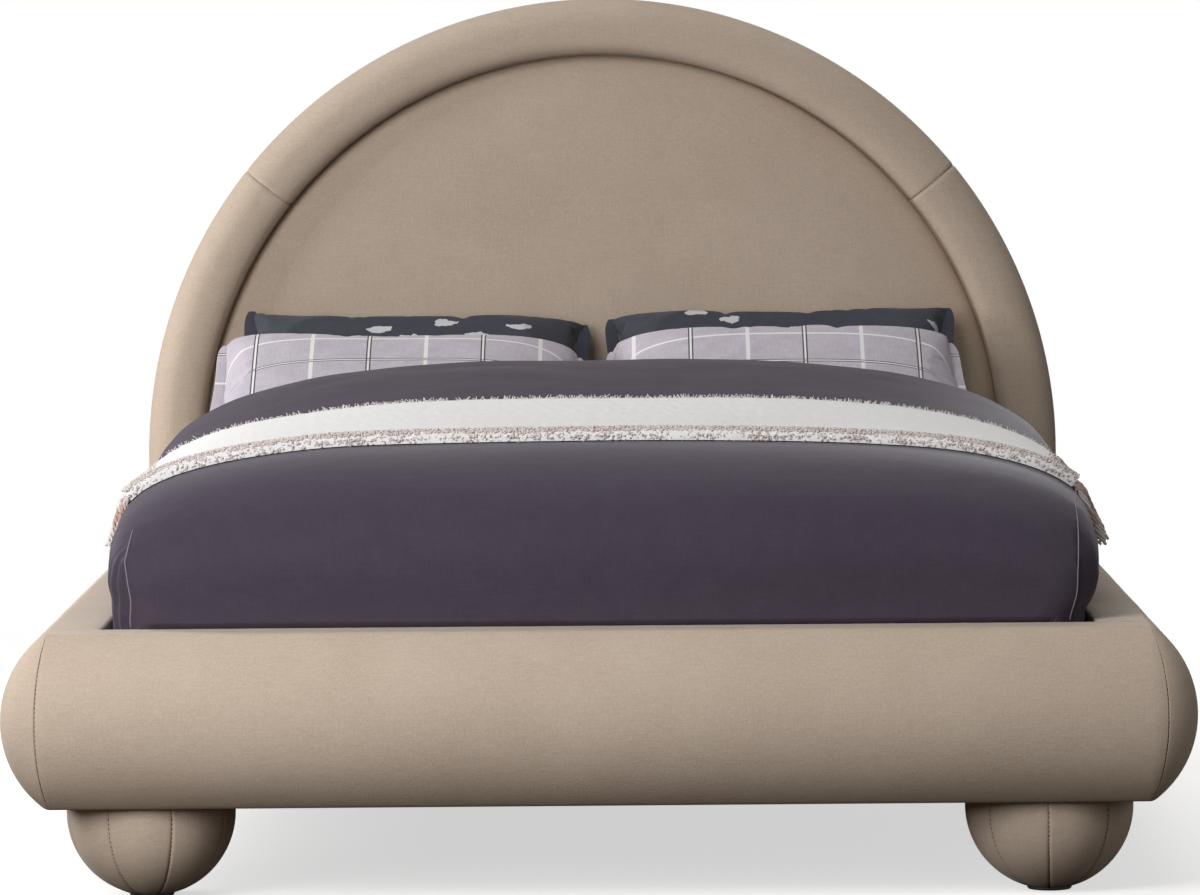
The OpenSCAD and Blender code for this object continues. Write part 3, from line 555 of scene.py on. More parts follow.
@dataclass(frozen=True)
class Velvet(Finish):
    """Short-pile polyester velvet: a dull, soft face with brushed patches and a fine speckle."""

    base: str = "#c9b7a5"
    shade: str = "#ae9a88"
    light: str = "#d6c7b7"
    roughness: float = 0.92
    specular: float = 0.08
    sheen: float = 0.16
    # The real pile is under a millimetre across; the speckle is drawn this coarse so that it shows
    speckle: float = 2.8 * MM
    brushed: float = 140 * MM
    thread: float = 2.2 * MM

    def paint(self, tree: Tree) -> dict:
        """Paint brushed patches, a speckle and the faint lines of the ground weave.

        Args:
            tree: the material's nodes.

        Returns:
            The shader's linked inputs.
        """
        place = self.place(tree)
        patches = self.spread(tree, self.cloud(tree, place, self.brushed, 3.0), 0.3, 0.75)
        speckle = self.cloud(tree, place, self.speckle, 3.0)
        across = self.cloud(tree, self.place(tree, (1, 1, 9)), self.thread * 9, 1.0)
        along = self.cloud(tree, self.place(tree, (9, 9, 1)), self.thread * 9, 1.0)
        weave = self.math(tree, "ADD", across, along)
        dull = self.mix(tree, self.math(tree, "MULTIPLY", patches, 0.3), self.base, self.shade)
        bright = self.math(tree, "MULTIPLY", self.spread(tree, speckle, 0.45, 0.7), 0.6)
        grained = self.mix(tree, bright, dull, self.light)
        lines = self.math(tree, "MULTIPLY", self.spread(tree, weave, 0.9, 1.25), 0.22)
        dark = self.mix(tree, lines, grained, self.shade)
        height = self.math(tree, "ADD", self.math(tree, "MULTIPLY", weave, 0.5), speckle)
        return {"Base Color": dark, "Normal": self.bump(tree, height, 0.9 * MM, 0.55)}


@dataclass(frozen=True)
class PlainCloth(Finish):
    """Woven cotton with a soft hand: fine threads both ways and slow folds of shade."""

    base: str = "#5b525d"
    shade: str = "#4c444f"
    specular: float = 0.1
    # Threads are about 0.3 mm apart; they are drawn coarser so that they show
    thread: float = 1.6 * MM
    crease: float = 45 * MM
    cloudy: float = 0.45
    thready: float = 0.5
    uv: bool = False
    depth: float = 0.35 * MM

    def weave(self, tree: Tree) -> Socket:
        """Return the height of threads that run both ways.

        Args:
            tree: the material's nodes.

        Returns:
            The height, from 0 to about 2.
        """
        across = self.cloud(tree, self.place(tree, (1, 12, 12), self.uv), self.thread * 12, 1.0)
        along = self.cloud(tree, self.place(tree, (12, 1, 1), self.uv), self.thread * 12, 1.0)
        return self.math(tree, "ADD", across, along)

    def ground(self, tree: Tree) -> Socket:
        """Return the cloth's own colour before any print.

        Args:
            tree: the material's nodes.

        Returns:
            The colour.
        """
        slow = self.cloud(tree, self.place(tree, uv=self.uv), self.crease, 3.0)
        clouds = self.math(tree, "MULTIPLY", self.spread(tree, slow, 0.35, 0.75), self.cloudy)
        cloudy = self.mix(tree, clouds, self.base, self.shade)
        threads = self.math(tree, "MULTIPLY", self.spread(tree, self.weave(tree), 0.75, 1.3), self.thready)
        return self.mix(tree, threads, cloudy, self.shade)

    def paint(self, tree: Tree) -> dict:
        """Paint threads in colour and in height, with slow creases under them.

        Args:
            tree: the material's nodes.

        Returns:
            The shader's linked inputs.
        """
        creases = self.cloud(tree, self.place(tree, (1, 1, 2.5), self.uv), self.crease, 2.0)
        rough = self.bump(tree, self.weave(tree), self.depth, 0.5)
        inputs = {"Height": creases, "Distance": 3 * MM, "Strength": 0.35, "Normal": rough}
        normal = add_node(tree, "ShaderNodeBump", inputs)
        return {"Base Color": self.printed(tree, self.ground(tree)), "Normal": normal.outputs[0]}

    def printed(self, tree: Tree, ground: Socket) -> Socket:
        """Return the colour with the cloth's pattern; plain cloth has none."""
        return ground


@dataclass(frozen=True)
class CheckedLinen(PlainCloth):
    """Slubby linen with a window check: a broad pale line, then a narrow one between dark threads."""

    base: str = "#d1c9d2"
    shade: str = "#ada4af"
    pale: str = "#f1efee"
    dark: str = "#2f3137"
    thread: float = 2.3 * MM
    depth: float = 0.6 * MM
    uv: bool = True
    # Distance from one broad line to the next, and half widths of the lines
    pitch: float = 205.6 * MM
    broad: float = 3.5 * MM
    narrow: float = 1.8 * MM
    edge: float = 3.2 * MM
    edge_half: float = 1.2 * MM

    def lines(self, tree: Tree, value: Socket, start: float, off: float, half: float) -> Socket:
        """Return 1 on lines that repeat, at a distance off on both sides of the start.

        Args:
            tree: the material's nodes.
            value: the coordinate across the lines.
            start: where the pattern starts.
            off: distance of each line from the middle of its pair.
            half: half of a line's width.

        Returns:
            1 on the lines and 0 between them.
        """
        moved = self.math(tree, "ADD", value, start + 50 * self.pitch)
        folded = self.math(tree, "PINGPONG", moved, self.pitch / 2)
        away = self.math(tree, "ABSOLUTE", self.math(tree, "SUBTRACT", folded, off))
        return self.math(tree, "LESS_THAN", away, half)

    def printed(self, tree: Tree, ground: Socket) -> Socket:
        """Lay the check over the ground.

        Args:
            tree: the material's nodes.
            ground: the cloth's own colour.

        Returns:
            The colour with the check.
        """
        halves = {"broad": self.broad, "narrow": self.narrow, "edge": self.edge_half}
        both = add_node(tree, "ShaderNodeSeparateXYZ", {0: self.place(tree, uv=True)}).outputs
        for mark, code in ((("broad", "narrow"), self.pale), (("edge",), self.dark)):
            found: Socket | float = 0.0
            for axis in (both[0], both[1]):
                for kind in mark:
                    start = 0.0 if kind == "broad" else self.pitch / 2
                    off = self.edge if kind == "edge" else 0.0
                    half = halves[kind]
                    line = self.lines(tree, axis, start, off, half)
                    found = self.math(tree, "MAXIMUM", line, found)
            ground = self.mix(tree, self.math(tree, "MULTIPLY", found, 0.92), ground, code)
        return ground


@dataclass(frozen=True)
class PrintedCotton(PlainCloth):
    """Dark cotton with a loose scatter of pale, ragged petals."""

    base: str = "#4c4e57"
    shade: str = "#3b3d45"
    pale: str = "#cfd0d0"
    thread: float = 1.5 * MM
    uv: bool = True
    petal: float = 74 * MM
    ragged: float = 26 * MM
    waver: float = 18 * MM
    reach: float = 285 * MM

    def printed(self, tree: Tree, ground: Socket) -> Socket:
        """Lay two sets of petals over the ground, each turned its own way.

        Args:
            tree: the material's nodes.
            ground: the cloth's own colour.

        Returns:
            The colour with the petals.
        """
        source = add_node(tree, "ShaderNodeTexCoord").outputs["UV"]
        noisy = {"Vector": source, "Scale": 1 / self.waver, "Detail": 2.0}
        waver = add_node(tree, "ShaderNodeTexNoise", noisy).outputs["Color"]
        inputs = {0: waver, 1: (self.ragged, self.ragged, 0.0), 2: source}
        moved = add_node(tree, "ShaderNodeVectorMath", inputs, operation="MULTIPLY_ADD").outputs[0]
        across = add_node(tree, "ShaderNodeSeparateXYZ", {0: source}).outputs[0]
        off_the_ends = self.math(tree, "LESS_THAN", self.math(tree, "ABSOLUTE", across), self.reach)
        for turn, shift in ((0.6, 0.0), (-0.8, 0.37)):
            laid = {"Rotation": (0, 0, turn), "Location": (shift, shift, 0), "Scale": (0.7, 1.35, 1)}
            place = add_node(tree, "ShaderNodeMapping", {"Vector": moved, **laid}).outputs[0]
            inputs = {"Vector": place, "Scale": 1 / self.petal, "Randomness": 0.8}
            cell = add_node(tree, "ShaderNodeTexVoronoi", inputs, voronoi_dimensions="2D")
            inside = self.math(tree, "LESS_THAN", cell.outputs["Distance"], 0.2)
            few = add_node(tree, "ShaderNodeSeparateColor", {0: cell.outputs["Color"]}).outputs[0]
            shown = self.math(tree, "MULTIPLY", inside, self.math(tree, "LESS_THAN", few, 0.42))
            shown = self.math(tree, "MULTIPLY", shown, off_the_ends)
            ground = self.mix(tree, shown, ground, self.pale)
        return ground


@dataclass(frozen=True)
class Mottled(Finish):
    """A surface whose small spots show in colour and in height."""

    base: str = "#e6e0dc"
    shade: str = "#c9bcb6"
    # A spot's size, the noise's detail, the part of the noise that is spread, and the relief
    spot: float = 2.4 * MM
    detail: float = 3.0
    span: tuple[float, float] = (0.35, 0.65)
    depth: float = 0.8 * MM
    strength: float = 0.5

    def paint(self, tree: Tree) -> dict:
        """Paint the spots in colour and in height.

        Args:
            tree: the material's nodes.

        Returns:
            The shader's linked inputs.
        """
        spots = self.cloud(tree, self.place(tree), self.spot, self.detail)
        colour = self.mix(tree, self.spread(tree, spots, *self.span), self.base, self.shade)
        return {"Base Color": colour, "Normal": self.bump(tree, spots, self.depth, self.strength)}


@dataclass(frozen=True)
class Fleece(Mottled):
    """Thick knitted fleece: matt, woolly, with small hollows between its loops, which are painted darker as
    shade.
    """

    base: str = "#e4e1dd"
    shade: str = "#bcb7b3"
    roughness: float = 0.95
    specular: float = 0.05
    sheen: float = 0.2
    spot: float = 3.2 * MM
    # Spread the other way round, so the hollows of the bump get the darker colour: painted shade
    span: tuple[float, float] = (0.62, 0.3)
    depth: float = 2 * MM
    strength: float = 0.6


@dataclass(frozen=True)
class Yarn(Mottled):
    """Spun yarn: matt, with fibres that shift in tone along the strand."""

    roughness: float = 0.9
    specular: float = 0.08
    sheen: float = 0.2


@dataclass(frozen=True)
class Wood(Finish):
    """Planed wood under a thin clear coat: long grain with pores, a little darker in late growth."""

    base: str = "#e0c79b"
    dark: str = "#c39f68"
    roughness: float = 0.55
    grain: Grain = Grain.Y
    ring: float = 9 * MM

    def paint(self, tree: Tree) -> dict:
        """Stretch the growth rings along the grain.

        Args:
            tree: the material's nodes.

        Returns:
            The shader's linked inputs.
        """
        stretch = [1.0, 1.0, 1.0]
        stretch[self.grain.value] = 0.06
        place = self.place(tree, tuple(stretch))
        rings = self.cloud(tree, place, self.ring, 3.0)
        pores = self.cloud(tree, place, 0.8 * MM, 2.0)
        colour = self.mix(tree, self.spread(tree, rings, 0.4, 0.62), self.base, self.dark)
        dots = self.math(tree, "MULTIPLY", self.spread(tree, pores, 0.55, 0.8), 0.35)
        speckled = self.mix(tree, dots, colour, self.dark)
        return {"Base Color": speckled, "Normal": self.bump(tree, pores, 0.2 * MM, 0.4)}


@dataclass(frozen=True)
class Metal(Mottled):
    """Bright zinc on pressed steel: a grey metal with faint spangles."""

    base: str = "#b9bdc1"
    shade: str = "#8f949a"
    roughness: float = 0.38
    metallic: float = 1.0
    spot: float = 5 * MM
    detail: float = 2.0
    span: tuple[float, float] = (0.35, 0.7)
    depth: float = 0.1 * MM
    strength: float = 0.3


@dataclass(frozen=True)
class Moulded(Mottled):
    """Black powder coat or moulded plastic: near black with a fine, even orange peel."""

    base: str = "#26272a"
    shade: str = "#33353a"
    roughness: float = 0.5
    spot: float = 1.2 * MM
    detail: float = 2.0
    span: tuple[float, float] = (0.4, 0.7)
    depth: float = 0.15 * MM


VELVET = Velvet("velvet_taupe")
# Seam thread: real stitches, dark brown against the taupe velvet as painted shade of the seam grooves
SEAM_SHADE_THREAD = Yarn("polyester_thread", base="#5c4938", shade="#443426")
BACKING = PlainCloth("backing_cloth_taupe", base="#a39482", shade="#8d7e6d", roughness=0.9)
DUVET_COTTON = PlainCloth(
    "duvet_sateen_cotton", base="#4c4450", shade="#433b47", thread=2.0 * MM, depth=0.5 * MM,
    roughness=0.6, specular=0.06, sheen=0.06, sheen_roughness=0.3,
)
# Pale cord on the pleat edges: a painted highlight along the crisp edge of each corner pleat
DUVET_PLEAT_HIGHLIGHT = PlainCloth("duvet_pleat_edge", base="#9a929d", shade="#857c88", roughness=0.7)
TICKING = PlainCloth("mattress_ticking", base="#efece6", shade="#dcd8d0", roughness=0.85)
TAPE = PlainCloth("mattress_tape", base="#c9c3ba", shade="#b0a99e", roughness=0.8)
CHECK = CheckedLinen("pillow_checked_linen", roughness=0.88, sheen=0.1)
SLATE = PrintedCotton("pillow_printed_cotton", roughness=0.8, sheen=0.1)
LILAC_THREAD = Yarn("lilac_thread", base="#a59ca7", shade="#857d88")
SLATE_THREAD = Yarn("slate_thread", base="#34363c", shade="#26282d")
FLEECE = Fleece("throw_fleece")
LOOP_YARN = Yarn("throw_loop_yarn", base="#efe9e6", shade="#d3c9c5")
PINK_YARN = Yarn("throw_pink_yarn", base="#e3d5d0", shade="#cbbab4")
RUST_YARN = Yarn("throw_rust_yarn", base="#d6b8ad", shade="#b8948a")
PLYWOOD = Wood("birch_plywood", base="#dcc294", dark="#c4a471", grain=Grain.X)
PINE_X = Wood("pine_across", grain=Grain.X)
PINE_Y = Wood("pine_along", grain=Grain.Y)
PINE_Z = Wood("pine_upright", grain=Grain.Z)
STEEL = Metal("zinc_plated_steel")
BLACK_METAL = Moulded("black_powder_coat", roughness=0.42)
BLACK_PLASTIC = Moulded("black_moulded_plastic", roughness=0.55, spot=0.7 * MM)
WEBBING = PlainCloth("black_webbing", base="#2b2b2d", shade="#1f1f21", roughness=0.8, depth=0.8 * MM)


# Upholstery


@dataclass
class RailSkin:
    """The padded outer section that the side rails and the footboard share."""

    inset: float = 0.012
    bulge_r: float = 0.16916
    soft_edge: float = 0.0095
    edge_steps: int = 5
    arc_steps: int = 26
    swell: float = 1.1 * MM
    swell_size: float = 0.16

    def slacken(self, bm: Shape, axis: int, sign: int, seed: float) -> None:
        """Let an outer face swell and dip a little along its length.

        Args:
            bm: the cover's mesh.
            axis: the number of the axis along which the face looks out.
            sign: whether it looks up or down that axis.
            seed: which pattern of unevenness it gets.
        """
        core = abs((BED.core_x, BED.core_y)[axis])
        for vert in bm.verts:
            out = sign * vert.co[axis] - core
            if out > 0.004:
                amount = self.swell * min(1.0, out / 0.03) * unevenness(vert.co, self.swell_size, seed)
                vert.co[axis] += sign * amount

    def points(self) -> list[tuple[float, float]]:
        """Return the section outside the flat top, from the top to the bottom, as (out, z).

        Returns:
            The points, of which out is the distance from the core.
        """
        middle = (BED.rail_top + BED.rail_bottom) / 2
        center = BED.bulge - self.bulge_r
        join = 0.003
        rise = math.sqrt(self.bulge_r**2 - (join - center) ** 2)
        top = BED.rail_top - middle
        corner = (-0.0048, top)
        start, end = (-self.soft_edge, top), (join, rise)
        half = [(-self.inset, top)]
        for i in range(self.edge_steps):
            t = i / self.edge_steps
            half.append(
                tuple(
                    (1 - t) ** 2 * a + 2 * t * (1 - t) * b + t * t * c
                    for a, b, c in zip(start, corner, end)
                )
            )
        tilt = math.asin(rise / self.bulge_r)
        arc = [
            (center + self.bulge_r * math.cos(a), self.bulge_r * math.sin(a))
            for a in (tilt - 2 * tilt * i / self.arc_steps for i in range(self.arc_steps + 1))
        ]
        lower = [(out, -z) for out, z in reversed(half)]
        return [(out, middle + z) for out, z in half + arc + lower]


@dataclass
class SideRail:
    """A side rail's padded cover, with the board's inner face left bare below the slats."""

    side: Side
    skin: RailSkin
    y0: float = -1.0175
    y1: float = 1.1095
    pad: float = 0.006
    batten_x: float = 0.857
    lip: float = 0.005
    stations: int = 72
    edge_r: float = 0.0022

    def section(self) -> list[tuple[float, float]]:
        """Return the closed section as (x, z), starting inside above the slats.

        Returns:
            The points, with X away from the middle of the bed.
        """
        inner_top = [
            (BED.well_x + self.lip * (1 - math.cos(a)), BED.rail_top - self.lip * (1 - math.sin(a)))
            for a in (math.radians(30 * i) for i in range(4))
        ]
        top = [(BED.well_x + d, BED.rail_top + 0.0006) for d in (0.018, 0.036, 0.056)]
        outer = [(BED.core_x + out, z) for out, z in self.skin.points()]
        low, high = BED.rail_bottom + self.pad, BED.rail_top - self.pad
        inside = [
            (BED.board_x, BED.rail_bottom), (BED.board_x, low), (self.batten_x, low),
            (self.batten_x, high), (BED.board_x, high), (BED.board_x, BED.base_z),
            (BED.well_x, BED.base_z),
        ]
        return inner_top + top + outer + inside

    def build(self) -> None:
        """Run the section along the rail, round its ends and dress it."""
        sign = self.side.value
        bm = bmesh.new()
        section = [Vector((sign * x, self.y0, z)) for x, z in self.section()]
        step = Matrix.Translation((0, (self.y1 - self.y0) / self.stations, 0))
        rows = run_section(bm, section, [step] * self.stations, closed=True)
        cap_rows(bm, rows)
        ends = [
            edge
            for row in (rows[0], rows[-1])
            for a, b in zip(row, row[1:] + row[:1])
            for edge in [bm.edges.get((a, b))]
            if abs(a.co.x) > BED.well_x + 0.001 and abs(b.co.x) > BED.core_x - self.skin.inset
        ]
        soften(bm, ends, self.edge_r, 2)
        self.skin.slacken(bm, 0, sign, 3.1)
        piece = make_piece(f"rail_{self.side.word}_padding", bm, [VELVET.material()])
        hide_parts(f"rail_{self.side.word}_cover")
        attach(piece, "frame")


@dataclass
class Footboard:
    """The footboard's padded cover: a bulging face that turns round both corners."""

    skin: RailSkin
    seam_left_deg: float = 13.0
    seam_right_deg: float = 20.0
    seam_half_deg: float = 1.3
    seam_depth: float = 0.0026
    side_steps: int = 6
    face_steps: int = 84
    hollow_y: tuple[float, float] = (-1.100, -1.0205)
    pad: float = 0.006
    edge_r: float = 0.003
    # Pitch, length and radius of the seam's stitches
    stitch: tuple[float, float, float] = (7.2 * MM, 5.0 * MM, 1.0 * MM)

    @property
    def pivot(self) -> tuple[float, float]:
        """The right corner's centre: X, which the left one has negative, and Y."""
        return BED.core_x - self.skin.inset, BED.core_y + self.skin.inset

    def seam_deg(self, side: Side) -> float:
        """Return a corner seam's angle away from the front."""
        return self.seam_left_deg if side is Side.LEFT else self.seam_right_deg

    def turns(self, side: Side) -> list[float]:
        """Return the angles round a corner, away from the front, that get a row of points.

        Args:
            side: the corner's side.

        Returns:
            The angles in degrees, close together at the seam.
        """
        seam = self.seam_deg(side)
        plain = [0, 4, 8, 13, 20, 27, 33, 40, 47, 54, 61, 68, 75, 82, 90]
        near = [seam + self.seam_half_deg * k for k in (-3, -1, 0, 1, 3)]
        return sorted([a for a in plain if abs(a - seam) > 4.5] + near)

    def outline(self, bm: Shape) -> list[list[Vert]]:
        """Sweep the outer face from the left butt joint round to the right one.

        Args:
            bm: the mesh that gets the face.

        Returns:
            One row of vertices for each place round the face.
        """
        cx, cy = self.pivot
        section = [Vector((-cx - out - self.skin.inset, BED.well_y, z)) for out, z in self.skin.points()]
        back = Matrix.Translation((0, (cy - BED.well_y) / self.side_steps, 0))
        across = Matrix.Translation((2 * cx / self.face_steps, 0, 0))
        right = self.turns(Side.RIGHT)
        left = [90 - a for a in reversed(self.turns(Side.LEFT))]
        steps = [back] * self.side_steps + turns_about((-cx, cy, 0), "Z", left)
        steps += [across] * self.face_steps + turns_about((cx, cy, 0), "Z", right)
        steps += [back.inverted()] * self.side_steps
        rows = run_section(bm, section, steps, closed=False)
        first = self.side_steps + left.index(90 - self.seam_left_deg)
        last = self.side_steps + len(left) - 1 + self.face_steps + right.index(self.seam_right_deg)
        for index, x in ((first, -cx), (last, cx)):
            for vert in rows[index]:
                away = Vector((vert.co.x - x, vert.co.y - cy, 0))
                if away.length > 0.004:
                    vert.co -= away.normalized() * self.seam_depth
        return rows

    def seam_line(self, side: Side) -> list[Vector]:
        """Return the points of a corner seam, just proud of its groove.

        Args:
            side: the corner's side.

        Returns:
            The points, from the top to the bottom.
        """
        cx, cy = self.pivot
        turn = math.radians(self.seam_deg(side))
        line = []
        for out, z in self.skin.points():
            away = out + self.skin.inset - self.seam_depth + 0.3 * MM
            if away > 0.003:
                x = side.value * (cx + away * math.sin(turn))
                line.append(Vector((x, cy - away * math.cos(turn), z)))
        return line

    def build(self) -> None:
        """Make the solid, hollow it out for the timber, dress it and sew its seams."""
        bm = bmesh.new()
        rows = self.outline(bm)
        bm.faces.new([row[0] for row in rows])
        bm.faces.new([row[-1] for row in rows])
        bm.faces.new(rows[0] + rows[-1][::-1])
        bmesh.ops.remove_doubles(bm, verts=bm.verts[:], dist=1e-5)
        bmesh.ops.dissolve_degenerate(bm, dist=1e-6, edges=bm.edges[:])
        rear = [
            e
            for e in bm.edges
            if all(abs(v.co.y - BED.well_y) < 1e-5 and abs(v.co.z - BED.rail_top) < 1e-5 for v in e.verts)
        ]
        soften(bm, rear, self.edge_r, 3)
        self.skin.slacken(bm, 1, -1, 5.7)
        piece = make_piece("footboard_padding", bm, [VELVET.material()])
        self.hollow_out(piece)
        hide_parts("footboard_cover")
        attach(piece, "frame")
        for side in Side:
            self.sew(side)

    def hollow_out(self, piece: Piece) -> None:
        """Cut the room of the timber, and the strip of bare board, out of the solid.

        Args:
            piece: the footboard's solid.
        """
        low, high = BED.rail_bottom + self.pad, BED.rail_top - self.pad
        inner = BED.core_x - self.pad
        strip_y = (BED.board_y - 0.001, BED.well_y + 0.001)
        rooms = (
            (inner, self.hollow_y, (low, high)),
            (BED.board_x, strip_y, (BED.rail_bottom - 0.001, BED.base_z)),
        )
        for half_x, (y0, y1), (z0, z1) in rooms:
            bm = bmesh.new()
            size = Matrix.Diagonal((2 * half_x, y1 - y0, z1 - z0, 1))
            place = Matrix.Translation((0, (y0 + y1) / 2, (z0 + z1) / 2))
            bmesh.ops.create_cube(bm, size=1, matrix=place @ size)
            cutter = make_piece("footboard_room", bm, [])
            cut = piece.modifiers.new("room", "BOOLEAN")
            cut.operation, cut.solver, cut.object = "DIFFERENCE", "EXACT", cutter
            apply_modifiers(piece)
            bpy.data.objects.remove(cutter)

    def sew(self, side: Side) -> None:
        """Lay the thread of one corner seam, dark with the painted shade of its groove.

        Args:
            side: the corner's side.
        """
        bm = beads(stitches(self.seam_line(side), *self.stitch))
        piece = make_piece(f"footboard_stitches_{side.word}", bm, [SEAM_SHADE_THREAD.material()])
        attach(piece, "frame")


@dataclass
class Headboard:
    """The headboard's padded border roll and its crowned panel."""

    panel_r: float = 0.7425
    panel_d: float = 0.047
    panel_crown: float = 0.006
    panel_power: float = 9.0
    panel_fall: float = 2.2
    panel_steps: int = 44
    turn_steps: int = 120
    roll_r: float = 0.0505
    roll_mid: float = 0.0245
    flank_power: float = 3.4
    wrap_r: float = 0.836
    seam_deg: float = 39.0
    seam_half_deg: float = 0.14
    seam_depth: float = 0.0036
    panel_swell: float = 1.6 * MM
    panel_swell_size: float = 0.24
    roll_swell: float = 1.0 * MM
    roll_swell_size: float = 0.12
    edge_r: float = 0.002

    def arch_steps(self, angles: list[float], down: float, count: int) -> list[Matrix]:
        """Return the moves up one side, round the arch and down the other side.

        Args:
            angles: the angles round the arch, from 0 at the right to 180 at the left.
            down: how far each side runs down from the arch's centre.
            count: the number of steps down a side.

        Returns:
            One move for each next place.
        """
        rise = Matrix.Translation((0, 0, down / count))
        turn = turns_about((0, 0, BED.arc_z), "Y", [-a for a in angles])
        return [rise] * count + turn + [rise.inverted()] * count

    def panel(self) -> None:
        """Make the crowned panel: one section turned round the arch and run down both sides."""
        bm = bmesh.new()
        depths = []
        for i in range(self.panel_steps + 1):
            # Points crowd towards the rim, where the padding turns down
            t = 1 - (1 - i / self.panel_steps) ** 2.2
            body = (1 - t**self.panel_power) ** (1 / self.panel_fall)
            depths.append((t, self.panel_d * body + self.panel_crown * (1 - t * t)))
        section = [Vector((self.panel_r * t, BED.face_y - d, BED.base_z)) for t, d in depths]
        section.append(Vector((0, BED.face_y, BED.base_z)))
        angles = [180 * i / self.turn_steps for i in range(self.turn_steps + 1)]
        run_section(bm, section, self.arch_steps(angles, BED.arc_z - BED.base_z, 14), closed=False)
        bmesh.ops.remove_doubles(bm, verts=bm.verts[:], dist=1e-5)
        bmesh.ops.holes_fill(bm, edges=[e for e in bm.edges if e.is_boundary], sides=0)
        for vert in bm.verts:
            if vert.co.y < BED.face_y - 0.03:
                vert.co.y -= self.panel_swell * unevenness(vert.co, self.panel_swell_size, 8.2)
        piece = make_piece("headboard_panel_padding", bm, [VELVET.material()], 60)
        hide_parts("headboard_panel")
        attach(piece, "frame")

    def roll_section(self) -> list[tuple[float, float]]:
        """Return the border's closed section as (radius, depth before the face).

        Returns:
            The points, from the panel over the roll to the wrapped edge.
        """
        middle = BED.border_r + self.roll_r
        flank = [(self.panel_r + 0.0004, 0.0), (self.panel_r + 0.0004, 0.004), (BED.border_r, 0.012)]
        roll = []
        for i in range(25):
            a = math.radians(180 - 7.5 * i)
            # The flank beside the panel is pulled down steeply, so it is squarer than the outer one
            full = 2 / self.flank_power if a > math.pi / 2 else 1.0
            out, up = math.cos(a), math.sin(a)
            r = middle + self.roll_r * math.copysign(abs(out) ** full, out)
            roll.append((r, self.roll_mid + self.roll_r * max(up, 0.0) ** full))
        outer = [(BED.head_r, d) for d in (0.012, 0.0, -0.015, -0.03, -0.045, -BED.head_depth + 0.003)]
        back = [(BED.head_r - 0.003, -BED.head_depth), (self.wrap_r, -BED.head_depth), (self.wrap_r, 0.0)]
        return flank + roll + outer + back

    def border(self) -> None:
        """Make the border roll with its two cross seams, and the wrap below it."""
        bm = bmesh.new()
        seams = (self.seam_deg, 180 - self.seam_deg)
        near = [s + self.seam_half_deg * k for s in seams for k in (-5, -2, -1, 0, 1, 2, 5)]
        plain = [180 * i / self.turn_steps for i in range(self.turn_steps + 1)]
        angles = sorted([a for a in plain if all(abs(a - s) > 0.75 for s in seams)] + near)
        start = BED.rail_top + 0.0005
        section = [Vector((r, BED.face_y - d, start)) for r, d in self.roll_section()]
        count = 10
        steps = self.arch_steps(angles, BED.arc_z - start, count)
        rows = run_section(bm, section, steps, closed=True)
        cap_rows(bm, rows)
        for seam in seams:
            for k, depth in ((-1, 0.35), (0, 1.0), (1, 0.35)):
                row = rows[count + angles.index(seam + self.seam_half_deg * k)]
                self.pull_in(row, math.radians(seam), self.seam_depth * depth)
        for vert in bm.verts:
            if BED.face_y - vert.co.y - self.roll_mid > 0.01:
                vert.co.y -= self.roll_swell * unevenness(vert.co, self.roll_swell_size, 1.9)
        for side in Side:
            self.wrap_below(bm, side)
        piece = make_piece("headboard_border_padding", bm, [VELVET.material()], 50)
        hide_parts("headboard_border")
        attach(piece, "frame")

    def pull_in(self, row: list[Vert], angle: float, depth: float) -> None:
        """Sink a row of the roll towards the roll's middle line.

        Args:
            row: the row's vertices.
            angle: the row's angle round the arch, in radians.
            depth: how far it sinks.
        """
        reach = BED.border_r + self.roll_r
        z = BED.arc_z + reach * math.sin(angle)
        middle = Vector((reach * math.cos(angle), BED.face_y - self.roll_mid, z))
        for vert in row:
            inward = middle - vert.co
            if vert.co.y < BED.face_y + 0.001:
                vert.co += inward.normalized() * depth

    def wrap_below(self, bm: Shape, side: Side) -> None:
        """Add the velvet that wraps the frame's edge behind a rail.

        Args:
            bm: the border's mesh.
            side: the rail's side.
        """
        width = BED.head_r - self.wrap_r
        height = BED.rail_top - BED.rail_bottom
        x, y = side.value * (self.wrap_r + width / 2), BED.face_y + BED.head_depth / 2
        place = Matrix.Translation((x, y, BED.rail_bottom + height / 2))
        size = Matrix.Diagonal((width, BED.head_depth - 0.001, height, 1))
        made = bmesh.ops.create_cube(bm, size=1, matrix=place @ size)
        edges = {e for v in made["verts"] for e in v.link_edges}
        soften(bm, list(edges), self.edge_r, 2)

    def build(self) -> None:
        """Make the headboard's padded pieces."""
        self.panel()
        self.border()


